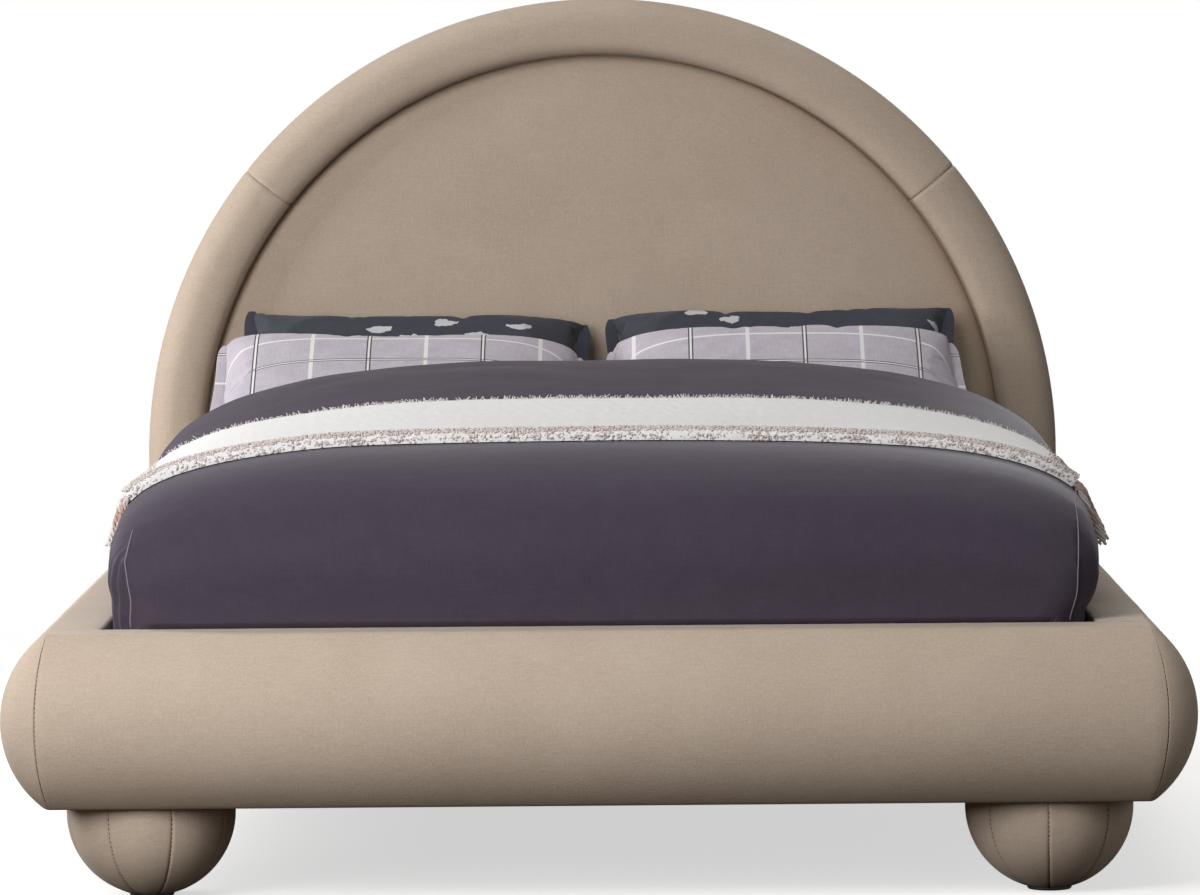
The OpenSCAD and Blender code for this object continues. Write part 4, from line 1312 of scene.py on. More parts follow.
@dataclass
class BallFoot:
    """A ball foot's padded cover: eight sewn gores round a wooden core."""

    side: Side
    end: int
    seam_deg: float
    radius: float = 0.133
    x: float = 0.705
    y: float = 0.950
    low: float = 0.005
    wall: float = 0.0095
    gores: int = 8
    per_gore: int = 16
    groove: float = 0.0024
    # Pitch, length and radius of the seams' stitches
    stitch: tuple[float, float, float] = (7.2 * MM, 4.6 * MM, 1.0 * MM)

    def place(self, turn: float, lift: float, sink: float) -> Vector:
        """Return a point of the cover at a turn and a height angle, sunk by some depth.

        Args:
            turn: the angle about the upright axis, in radians.
            lift: the angle over the middle, in radians.
            sink: the depth.

        Returns:
            The point.
        """
        reach = self.radius - sink
        x = self.side.value * self.x + reach * math.cos(lift) * math.cos(turn)
        y = self.end * self.y + reach * math.cos(lift) * math.sin(turn)
        return Vector((x, y, self.radius + reach * math.sin(lift)))

    def build(self) -> None:
        """Shape a sphere into gores, cut its flats, give it a wall and sew it."""
        word = f"{'front' if self.end < 0 else 'rear'}_{self.side.word}"
        bm = bmesh.new()
        count = self.gores * self.per_gore
        bmesh.ops.create_uvsphere(bm, u_segments=count, v_segments=40, radius=1)
        first = math.radians(self.seam_deg)
        for vert in bm.verts:
            lift = math.asin(max(-1.0, min(1.0, vert.co.z)))
            turn = math.atan2(vert.co.y, vert.co.x)
            # Crowd the columns towards the seams
            turn -= 0.8 * math.sin(self.gores * turn) / self.gores
            off = abs(math.sin(self.gores * turn / 2)) * 2 / self.gores * self.radius * math.cos(lift)
            sink = self.groove * bell(off / (1.6 * MM)) + 0.9 * MM * math.cos(self.gores * turn / 2) ** 2
            vert.co = self.place(turn + first, lift, sink)
        middle = Vector((self.side.value * self.x, self.end * self.y, 0))
        for height, normal in ((self.low, Vector((0, 0, -1))), (BED.rail_bottom, Vector((0, 0, 1)))):
            geom, at = bm.verts[:] + bm.edges[:] + bm.faces[:], middle + Vector((0, 0, height))
            bmesh.ops.bisect_plane(bm, geom=geom, plane_co=at, plane_no=normal, clear_outer=True)
        foot = [e for e in bm.edges if e.is_boundary and e.verts[0].co.z < self.radius]
        bmesh.ops.holes_fill(bm, edges=foot, sides=0)
        piece = make_piece(f"ball_padding_{word}", bm, [VELVET.material()], 60)
        wall = piece.modifiers.new("wall", "SOLIDIFY")
        wall.thickness, wall.offset = self.wall, -1
        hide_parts(f"foot_cover_{word}")
        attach(piece, "frame")
        self.sew(word, first)

    def sew(self, word: str, first: float) -> None:
        """Lay the thread of the eight seams, dark with the painted shade of their grooves.

        Args:
            word: the foot's place in words.
            first: the first seam's angle, in radians.
        """
        places = []
        for i in range(self.gores):
            turn = first + 2 * math.pi * i / self.gores
            lifts = [math.radians(-70 + 3 * k) for k in range(25)]
            line = [self.place(turn, lift, self.groove + 0.7 * MM) for lift in lifts]
            places += stitches(line, *self.stitch)
        piece = make_piece(f"ball_stitches_{word}", beads(places), [SEAM_SHADE_THREAD.material()])
        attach(piece, "frame")


# Bedding


@dataclass
class Mattress:
    """A pocket mattress: quilted faces, a swelling border and taped edges."""

    low: float = 0.300
    top: float = 0.570
    corner: float = 0.095
    swell: float = 0.006
    inset: float = 0.004
    edge_drop: float = 0.032
    quilt: float = 0.115
    quilt_depth: float = 0.0035
    tape: float = 0.0045
    across: int = 72
    along: int = 96

    def plan(self, u: float, v: float, shrink: float = 0.0) -> tuple[float, float]:
        """Place a point of a square in the mattress's rounded outline.

        Args:
            u: -1 to 1 across.
            v: -1 to 1 along.
            shrink: how far inside the outline it lies.

        Returns:
            X and Y.
        """
        shrink += self.inset
        half_x, half_y = BED.mattress_x - shrink, (BED.mattress_y1 - BED.mattress_y0) / 2 - shrink
        x, y = u * half_x, v * half_y
        in_x, in_y = half_x - self.corner, half_y - self.corner
        dx, dy = abs(x) - in_x, abs(y) - in_y
        if dx > 0 and dy > 0:
            reach = max(dx, dy) / math.hypot(dx, dy)
            x = math.copysign(in_x + dx * reach, x)
            y = math.copysign(in_y + dy * reach, y)
        return x, y + (BED.mattress_y0 + BED.mattress_y1) / 2

    def quilted(self, x: float, y: float, u: float, v: float) -> float:
        """Return how far the face sinks at a point.

        Args:
            x: the point's X.
            y: the point's Y.
            u: its share across.
            v: its share along.

        Returns:
            The depth.
        """
        diamonds = abs(math.sin(math.pi * (x + y) / self.quilt) * math.sin(math.pi * (x - y) / self.quilt))
        flat = ease((1 - max(abs(u), abs(v))) / 0.07)
        return self.quilt_depth * (1 - diamonds**0.5) * flat + self.edge_drop * (1 - flat)

    def point(self, u: float, v: float, face: int) -> Vector:
        """Return a point of the upper face, 1, or the lower one, -1.

        Args:
            u: -1 to 1 across.
            v: -1 to 1 along.
            face: the face.

        Returns:
            The point.
        """
        x, y = self.plan(u, v)
        sink = self.quilted(x, y, u, v)
        return Vector((x, y, self.top - sink if face > 0 else self.low + sink))

    def build(self) -> None:
        """Make both faces, bridge them with the border, and lay the tapes."""
        bm = bmesh.new()
        sides = two_faces(bm, (self.across, self.along), self.point)
        upright = {e for f in sides for e in f.edges if abs(e.verts[0].co.z - e.verts[1].co.z) > 0.1}
        bmesh.ops.subdivide_edges(bm, edges=list(upright), cuts=7)
        middle = (self.low + self.top) / 2
        center_y = (BED.mattress_y0 + BED.mattress_y1) / 2
        for vert in bm.verts:
            if self.low + self.edge_drop < vert.co.z < self.top - self.edge_drop:
                t = (vert.co.z - middle) / (self.top - self.low) * 2
                inward = Vector((vert.co.x, vert.co.y - center_y, 0)).normalized()
                vert.co -= inward * self.swell * t * t
        piece = make_piece("mattress_ticking", bm, [TICKING.material()], 50)
        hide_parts("mattress")
        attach(piece, "mattress")
        self.tapes()

    def tapes(self) -> None:
        """Lay a sewn tape round the upper and the lower edge."""
        steps = 40
        ring = [(-1 + 2 * i / steps, -1) for i in range(steps)]
        ring += [(1, v) for v, _ in ring] + [(-u, 1) for u, _ in ring] + [(-1, -v) for v, _ in ring]
        lines = [
            [Vector((*self.plan(u, v, self.tape * 0.8), z)) for u, v in ring]
            for z in (self.low + self.edge_drop, self.top - self.edge_drop)
        ]
        bm = tube("tape", lines, self.tape, closed=True)
        piece = make_piece("mattress_tapes", bm, [TAPE.material()])
        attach(piece, "mattress")


@dataclass
class Duvet:
    """The duvet: boxy and tucked in at the foot, rounder and higher towards the pillows."""

    low: float = 0.330
    wide_z: float = 0.492
    y0: float = -1.026
    y1: float = 0.402
    side_x: float = 0.7715
    foot_x: float = 0.780
    mid_x: float = 0.797
    aside: float = 0.009
    corner_r: float = 0.080
    foot_t: float = 0.118
    head_t: float = 0.210
    front_round: float = 0.330
    front_power: float = 2.4
    end_round: float = 0.060
    foot_power: float = 3.6
    head_power: float = 2.8
    wall: int = 34
    crown: int = 120
    gap: float = 0.0005
    pleat_r: float = 0.0009
    hollow_drop: float = 0.029

    @property
    def count(self) -> int:
        """The number of points in a section."""
        return 2 * self.wall + self.crown + 1

    def turn(self, y: float) -> float:
        """How far the side lies inward where its plan corner turns."""
        return self.corner_r * (1 - round_up((y - self.y0) / self.corner_r, 2))

    def tight(self, y: float) -> float:
        """How far the foot of the side lies inward of its place, near the front."""
        return 0.014 * (1 - ease((y - self.y0) / 0.25))

    def half(self, y: float) -> float:
        """Half width at the widest height."""
        wave = 0.002 * math.sin(2 * math.pi * (y - self.y0) / 0.12) * math.exp((self.y0 - y) / 0.12)
        return self.foot_x + (self.mid_x - self.foot_x) * ease((y - self.y0) / 0.7) + wave - self.turn(y)

    def wide(self, y: float) -> float:
        """Height of the section's widest line."""
        return self.wide_z + 0.031 * ease((y - self.y0 - 0.2) / 0.5)

    def full(self, y: float) -> float:
        """Height of the section's top over its widest line, away from the ends.

        Args:
            y: the place along the bed.

        Returns:
            The height.
        """
        swell = ease((y - self.y0 - 0.75) / (self.y1 - self.y0 - 0.75))
        thick = self.foot_t + (self.head_t - self.foot_t) * swell
        return BED.mattress_top + thick - self.wide(y)

    def rise(self, y: float) -> float:
        """Height of the section's top over its widest line.

        Args:
            y: the place along the bed.

        Returns:
            The height, which falls to nothing at the front.
        """
        front = round_up((y - self.y0) / self.front_round, self.front_power)
        end = 0.62 + 0.38 * round_up((self.y1 - y) / self.end_round, 2.2)
        return self.full(y) * front * end

    def ring(self, y: float) -> np.ndarray:
        """Return the points of the section, from the right tuck to the left one.

        Args:
            y: the place along the bed.

        Returns:
            Rows of (x, z), closer together at the shoulders than in the middle.
        """
        w, h, wide = self.half(y), self.rise(y), self.wide(y)
        p = 2 / (self.foot_power + (self.head_power - self.foot_power) * ease(y - self.y0))
        low_x = self.side_x - self.turn(y) - self.tight(y)
        t = np.linspace(0, 1, 161)[1:]
        a = np.pi / 2 * (1 - (1 - t) ** (1 / p))
        half = np.column_stack([w * np.cos(a) ** p, wide + h * np.sin(a) ** p])
        mid = [(low_x + w) / 2 + 0.001, (BED.rail_top + wide) / 2 - 0.004]
        right = np.vstack([[low_x, self.low], [low_x, BED.rail_top], mid, [w, wide], half])
        right[-1, 0] = 0
        left = right[::-1] * [-1, 1]
        line = np.vstack([right, left[1:]])
        length = run_lengths(line)
        # The wall keeps the same share of the points in every section
        split = length[3] + (length[len(right) - 1] - length[3]) * 0.16 * min(1.0, h / 0.12)
        share = np.linspace(0, 1, self.crown + 1)
        share = share - 0.55 * np.sin(2 * np.pi * share) / (2 * np.pi)
        first = np.linspace(0, split, self.wall + 1)[:-1]
        last = np.linspace(length[-1] - split, length[-1], self.wall + 1)[1:]
        at = np.concatenate([first, split + (length[-1] - 2 * split) * share, last])
        return points_at(line, length, at)

    def stations(self) -> list[float]:
        """Return the places along the bed that get a section, close together at the corners.

        Returns:
            The places, from the front to the pillows.
        """
        turn = [self.corner_r * (1 - math.cos(math.radians(b))) for b in range(0, 91, 3)]
        pleat = [0.0025 + 0.0011 * k for k in range(17)]
        front = [self.corner_r + (0.4 - self.corner_r) * i / 26 for i in range(1, 27)]
        behind = [0.4 + (self.y1 - self.y0 - self.end_round - 0.4) * i / 44 for i in range(1, 45)]
        start = self.y1 - self.y0 - self.end_round
        end = [start + self.end_round * math.sin(math.radians(10 * i)) for i in range(1, 10)]
        return [self.y0 + d for d in sorted(turn + pleat) + front + behind + end]

    @staticmethod
    def pleat_x(side: float, z: float) -> float:
        """Half width at which the front's cloth ends in a crisp edge, at a height.

        Args:
            side: negative on the left.
            z: the height.

        Returns:
            The half width.
        """
        if side < 0:
            return float(np.interp(z, (0.42, 0.497, 0.53, 0.578), (0.730, 0.744, 0.749, 0.739)))
        return float(np.interp(z, (0.42, 0.50, 0.628), (0.737, 0.740, 0.746)))

    @staticmethod
    def pleat_top(side: float) -> float:
        """Height at which a corner's pleat opens."""
        return 0.576 if side < 0 else 0.626

    def folds(self, point: Vector) -> float:
        """Return how far the corner pleats move a point outward.

        The front's cloth lies over the side's at a crisp edge. Beyond it the side's cloth is
        gathered: closely at the left corner, and with two slack creases at the right one.

        Args:
            point: a point of the smooth form.

        Returns:
            The distance, negative inward.
        """
        past = abs(point.x) - self.pleat_x(point.x, point.z)
        depth = point.y - self.y0
        top = self.pleat_top(point.x)
        if past < -0.004 or depth > 0.30 or point.z > top + 0.01:
            return 0.0
        shown = ease((top + 0.002 - point.z) / 0.03) * ease((0.30 - depth) / 0.1)
        deep = 0.0065 if point.x < 0 else 0.0100
        step = -deep * ease((past + 0.0014) / 0.0028) * math.exp(-depth / 0.10)
        fan = (max(past, 0.0) + max(depth - 0.011, 0.0)) / (0.35 * max(top - point.z, 0.0) + 0.02)
        if point.x < 0:
            ridge = 0.0048 * math.sin(12.0 * fan**0.8) * math.exp(-fan * 0.9)
        else:
            ridge = 0.0026 * math.sin(6.0 * fan) * math.exp(-fan * 1.2)
        return shown * (step + ridge * ease(past / 0.004))

    def drape(self, point: Vector, outward: Vector) -> Vector:
        """Return a point of the smooth form moved by the cloth's folds and unevenness.

        Args:
            point: the point of the smooth form.
            outward: the form's normal there.

        Returns:
            The moved point.
        """
        flat = Vector((outward.x, outward.y, 0))
        flat = flat.normalized() if flat.length > 1e-6 else flat
        moved = point + flat * self.folds(point)
        loose = ease((point.z - BED.rail_top) / 0.06)
        moved += outward * loose * 2.6 * MM * unevenness(point, 0.24, 4.4)
        streak = Vector((point.x * 0.35, point.y, point.z))
        near_end = ease((point.y - 0.02) / 0.2)
        moved += outward * loose * (0.3 + 2.4 * near_end) * MM * unevenness(streak, 0.045, 2.6)
        moved.x += self.aside * ease((point.z - BED.rail_top) / 0.05)
        return self.keep_clear(moved)

    def keep_clear(self, point: Vector) -> Vector:
        """Hold a point inside the well between the rails, below their tops.

        Args:
            point: a point of the cloth.

        Returns:
            The point, moved only where it was past a limit.
        """
        over = ease((point.z - BED.rail_top - 0.001) / 0.014)
        limit_x = BED.well_x - 0.0015 + 0.05 * over
        limit_y = BED.well_y + 0.0015 - 0.05 * over
        x = max(-limit_x, min(limit_x, point.x))
        return Vector((x, max(limit_y, point.y), max(point.z, self.low)))

    def outward_at(self, x: float, y: float, z: float) -> Vector:
        """Return the smooth form's rough normal at a point.

        Args:
            x: the point's X.
            y: the point's Y.
            z: the point's height.

        Returns:
            The unit normal.
        """
        u = max(-1.0, min(1.0, x / max(self.half(y), 0.1)))
        up = max(0.0, min(1.0, (z - self.wide(y)) / self.full(y)))
        front = max(0.0, 1 - (y - self.y0) / 0.2)
        return Vector((math.copysign(abs(u) ** 5, u), -(front**2) * 1.2, up**3 + 1e-4)).normalized()

    def build(self) -> None:
        """Make the outer cloth and its hollow, join them at the tuck, and dress the piece."""
        bm = bmesh.new()
        self.outer(bm)
        self.hollow(bm)
        bmesh.ops.remove_doubles(bm, verts=bm.verts[:], dist=1e-6)
        bmesh.ops.bridge_loops(bm, edges=[e for e in bm.edges if e.is_boundary])
        piece = make_piece("duvet_cover", bm, [DUVET_COTTON.material()], 75)
        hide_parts("duvet")
        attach(piece, "mattress")
        self.edge_pleats()

    def outer(self, bm: Shape) -> None:
        """Add the outer cloth: a grid from the front to the pillows, and the front's own grid.

        Args:
            bm: the duvet's mesh.
        """
        places = self.stations()
        rings = [self.ring(y) for y in places]
        count, last = self.count - 1, len(places) - 1
        made = bmesh.ops.create_grid(bm, x_segments=count, y_segments=last, size=1)
        for vert in made["verts"]:
            i, j = round((vert.co.x + 1) / 2 * count), round((vert.co.y + 1) / 2 * last)
            point = Vector((rings[j][i][0], places[j], rings[j][i][1]))
            vert.co = self.drape(point, self.outward_at(*point))
        rows, ring = self.wall, rings[0]
        front = bmesh.ops.create_grid(bm, x_segments=count - 2 * rows, y_segments=rows, size=1)
        for vert in front["verts"]:
            i = round((vert.co.x + 1) / 2 * (count - 2 * rows)) + rows
            j = round((vert.co.y + 1) / 2 * rows)
            point = Vector((ring[j][0] * ring[i][0] / ring[rows][0], self.y0, ring[j][1]))
            vert.co = self.drape(point, self.outward_at(*point))

    def hollow(self, bm: Shape) -> None:
        """Add the hollow that fits the mattress: its sides, its top and its front.

        Args:
            bm: the duvet's mesh.
        """
        half, top = BED.mattress_x + self.gap, BED.mattress_top + self.gap
        start = BED.mattress_y0 - self.gap
        brim = top - self.hollow_drop
        count, last, rows = 72, 44, 10
        made = bmesh.ops.create_grid(bm, x_segments=count, y_segments=last, size=1)
        for vert in made["verts"]:
            i, j = round((vert.co.x + 1) / 2 * count), round((vert.co.y + 1) / 2 * last)
            y = start + (self.y1 - start) * (j / last) ** 1.5
            turn = 0.10 * (1 - ease((y - start) / 0.06))
            if rows <= i <= count - rows:
                x = half * (1 - 2 * (i - rows) / (count - 2 * rows))
                z = brim + self.hollow_drop * ease(min(half - abs(x), y - start) / 0.07)
            else:
                x = half if i < rows else -half
                z = self.low + (brim - self.low) * min(i, count - i) / rows
            vert.co = (x * (1 - turn), y, z)
        cap = bmesh.ops.create_grid(bm, x_segments=count - 2 * rows, y_segments=rows, size=1)
        for vert in cap["verts"]:
            z = self.low + (brim - self.low) * (vert.co.y + 1) / 2
            vert.co = (-half * 0.90 * vert.co.x, start, z)

    def edge_pleats(self) -> None:
        """Lay a pale cord along both corner pleats: the turned edge of the front's cloth, whose pale colour
        is a painted highlight on the crisp edge.
        """
        places = [self.y0 + 0.0015 * k for k in range(100)]
        rights = [self.ring(y)[: self.count // 2] for y in places]
        lines = []
        for side in (-1, 1):
            line = []
            for z in np.linspace(BED.rail_top + 0.003, self.pleat_top(side), 26):
                widths = [float(np.interp(z, r[:, 1], r[:, 0], right=0.0)) for r in rights]
                across = self.pleat_x(side, z) - 0.0022
                point = Vector((side * across, float(np.interp(across, widths, places)), z))
                outward = self.outward_at(*point)
                line.append(self.drape(point, outward) + outward * 0.4 * MM)
            lines.append(line)
        piece = make_piece("duvet_pleat_edges", tube("pleats", lines, self.pleat_r), [DUVET_PLEAT_HIGHLIGHT.material()])
        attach(piece, "mattress")


@dataclass
class Throw:
    """The fleece throw across the duvet, with a looped near edge and a fringe at both ends."""

    duvet: Duvet
    y0: float = -0.589
    y1: float = 0.004
    left_z: float = 0.597
    right_z: float = 0.606
    gap: float = 0.0016
    thick: float = 0.0075
    roll: float = 0.0120
    across: int = 300
    along: int = 96
    flat: tuple[float, float] = (1.60, 0.60)
    edge_wave: float = 2.6 * MM
    nap: float = 0.9 * MM
    loop_count: int = 9600
    whisker_count: int = 900
    tassels: int = 26
    tassel_l: float = 0.102
    strands: int = 5
    strand_r: float = 0.0023

    def line(self, y: float) -> np.ndarray:
        """Return even points of the duvet's section under the throw, from right to left.

        Args:
            y: the place along the bed.

        Returns:
            Rows of (x, z).
        """
        ring = self.duvet.ring(y)
        length = run_lengths(ring)
        half = len(ring) // 2
        right, left = (
            float(np.interp(z, ring[:half, 1], length[:half])) for z in (self.right_z, self.left_z)
        )
        at = np.linspace(right, length[-1] - left, self.across + 1)
        return points_at(ring, length, at)

    def point(self, line: np.ndarray, y: float, share: float, off: float) -> Vector:
        """Return a point above the duvet.

        Args:
            line: the duvet's section there, as even points.
            y: the place along the bed.
            share: 0 at the right end of the throw and 1 at its left end.
            off: the distance from the duvet.

        Returns:
            The point.
        """
        n = len(line) - 1
        at = min(max(share, 0.0), 1.0) * n
        i = min(int(at), n - 1)
        a, b = Vector(line[i]), Vector(line[i + 1])
        place = a.lerp(b, at - i)
        before, after = Vector(line[max(i - 1, 0)]), Vector(line[min(i + 2, n)])
        along = (b - a).lerp((after - before) / 3, 0.5).normalized()
        base = Vector((place.x, y, place.y))
        draped = self.duvet.drape(base, self.duvet.outward_at(*base))
        return draped + Vector((along.y, 0, -along.x)) * off

    def height(self, inset: float) -> float:
        """Return the cloth's thickness at a distance from its near edge."""
        edge = self.thick * (0.35 + 0.65 * round_up(inset / 0.010, 2))
        return edge + self.roll * bell((inset - 0.014) / 0.015)

    def build(self) -> None:
        """Make the cloth, its loops and its tassels."""
        bm = bmesh.new()
        width = self.y1 - self.y0
        # Rows crowd towards the near edge, which is the thick one
        places = [self.y0 + width * (j / self.along) ** 1.35 for j in range(self.along + 1)]
        lines = [self.line(y) for y in places]

        def place(u: float, v: float, face: int) -> Vector:
            """Return a point of the cloth's underside, 0, or its top, 1.

            Args:
                u: -1 to 1 from the right end to the left one.
                v: -1 to 1 from the near edge to the far one.
                face: the face.

            Returns:
                The point.
            """
            share, j = (1 + u) / 2, round((v + 1) / 2 * self.along)
            near, far = places[j] - self.y0, self.y1 - places[j]
            seam = Vector((share * 1.8, 0, 3.0 if near < far else 9.0))
            wobble = self.edge_wave * unevenness(seam, 0.03, 7.7) * bell(min(near, far) / 0.02)
            thick = self.height(near) * (0.35 + 0.65 * round_up(far / 0.010, 2))
            off = self.gap + face * thick
            if face:
                off += self.nap * unevenness(Vector((share * 1.8, places[j], 0)), 0.011, 2.2)
            return self.point(lines[j], places[j] + wobble, share, off)

        two_faces(bm, (self.across, self.along), place, (0, 1))
        cloth = make_piece("throw_cloth", bm, [FLEECE.material()], 80)
        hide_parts("throw")
        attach(cloth, "mattress")
        trims = [self.loops(), self.whiskers(), self.fringe()]

    def loops(self) -> Piece:
        """Crowd small yarn loops on the near edge, some of them pink and a few brown.

        Returns:
            The piece.
        """
        draw = np.random.default_rng(11)
        rows = [self.line(self.y0 + 0.004 * k) for k in range(150)]
        places, slots = [], []
        for n in range(self.loop_count):
            if n % 8:
                share = draw.random()
                back = min(abs(draw.normal(0, 0.024)), 0.070) - 0.002
            else:
                # One in eight lies on an end, above the fringe
                share = round(draw.random()) + draw.normal(0, 0.006)
                back = draw.random() * (self.y1 - self.y0 - 0.01)
            low = draw.random() ** 0.6 if back < 0.003 else 1.0
            lift = self.gap + (self.height(max(back, 0.0)) + 0.0020) * low
            row = rows[int(max(back, 0.0) / 0.004)]
            place = self.point(row, self.y0 + back, min(abs(share), 2 - abs(share)), lift)
            size = 0.0012 + 0.0008 * draw.random()
            spin = Matrix.Rotation(draw.random() * 6.28, 4, Vector(draw.normal(size=3)).normalized())
            shape = Matrix.Diagonal((size * 1.7, size, size, 1))
            places.append(Matrix.Translation(place) @ spin @ shape)
            tint = draw.random()
            slots.append(2 if tint < 0.01 else 1 if tint < 0.36 else 0)
        materials = [LOOP_YARN.material(), PINK_YARN.material(), RUST_YARN.material()]
        piece = make_piece("throw_loops", beads(places, slots), materials, 80)
        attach(piece, "mattress")
        return piece

    def whiskers(self) -> Piece:
        """Let single fibres stand out along the far edge.

        Returns:
            The piece.
        """
        draw = np.random.default_rng(12)
        line = self.line(self.y1 - 0.001)
        lines = []
        for _ in range(self.whisker_count):
            share, tall = draw.random(), 0.003 + 0.007 * draw.random() ** 2
            start = self.point(line, self.y1 - 0.004, share, self.gap + 0.005)
            lean = Vector((draw.normal(0, 0.003), tall * 0.5, tall * 0.7))
            lines.append([start, start + lean * 0.5 + Vector((0, 0, 0.0006)), start + lean])
        bm = tube("whiskers", lines, 0.0006)
        piece = make_piece("throw_whiskers", bm, [LOOP_YARN.material()], 80)
        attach(piece, "mattress")
        return piece

    def fringe(self) -> Piece:
        """Hang twisted tassels from both ends: brown yarn above, with pale tips.

        Returns:
            The piece.
        """
        draw = np.random.default_rng(13)
        pale: list[list[Vector]] = []
        brown: list[list[Vector]] = []
        for side in Side:
            away = 0.038 if side is Side.RIGHT else 0.022
            for i in range(self.tassels):
                y = self.y0 + 0.006 + (self.y1 - self.y0 - 0.012) * i / (self.tassels - 1)
                share = 0.003 if side is Side.RIGHT else 0.997
                top = self.point(self.line(y), y, share, self.gap + 0.006)
                sway, phase = draw.normal(0, 0.010), draw.random() * 6.28
                length = self.tassel_l * (0.75 + 0.25 * draw.random())
                stand = 0.004 + 0.010 * draw.random()
                for k in range(self.strands):
                    line = []
                    for s in range(17):
                        t = s / 16
                        angle = phase + k * 2 * math.pi / self.strands + t * 11
                        spread = 0.0042 + 0.0036 * t * t
                        out = side.value * (stand * ease(t / 0.12) + away * t)
                        lean = Vector((out, sway * t, -length * t))
                        wind = Vector((math.cos(angle), math.sin(angle), 0)) * spread
                        line.append(top + lean + wind)
                    if (k + i) % self.strands < 3:
                        brown.append(line[:12])
                        pale.append(line[11:])
                    else:
                        pale.append(line)
        bm = tube("tassels", pale, self.strand_r)
        other = tube("brown_tassels", brown, self.strand_r)
        for face in other.faces:
            face.material_index = 1
        joined = bpy.data.meshes.new("brown")
        other.to_mesh(joined)
        other.free()
        bm.from_mesh(joined)
        bpy.data.meshes.remove(joined)
        piece = make_piece("throw_fringe", bm, [LOOP_YARN.material(), RUST_YARN.material()], 80)
        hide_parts("throw_tassels")
        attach(piece, "mattress")
        return piece


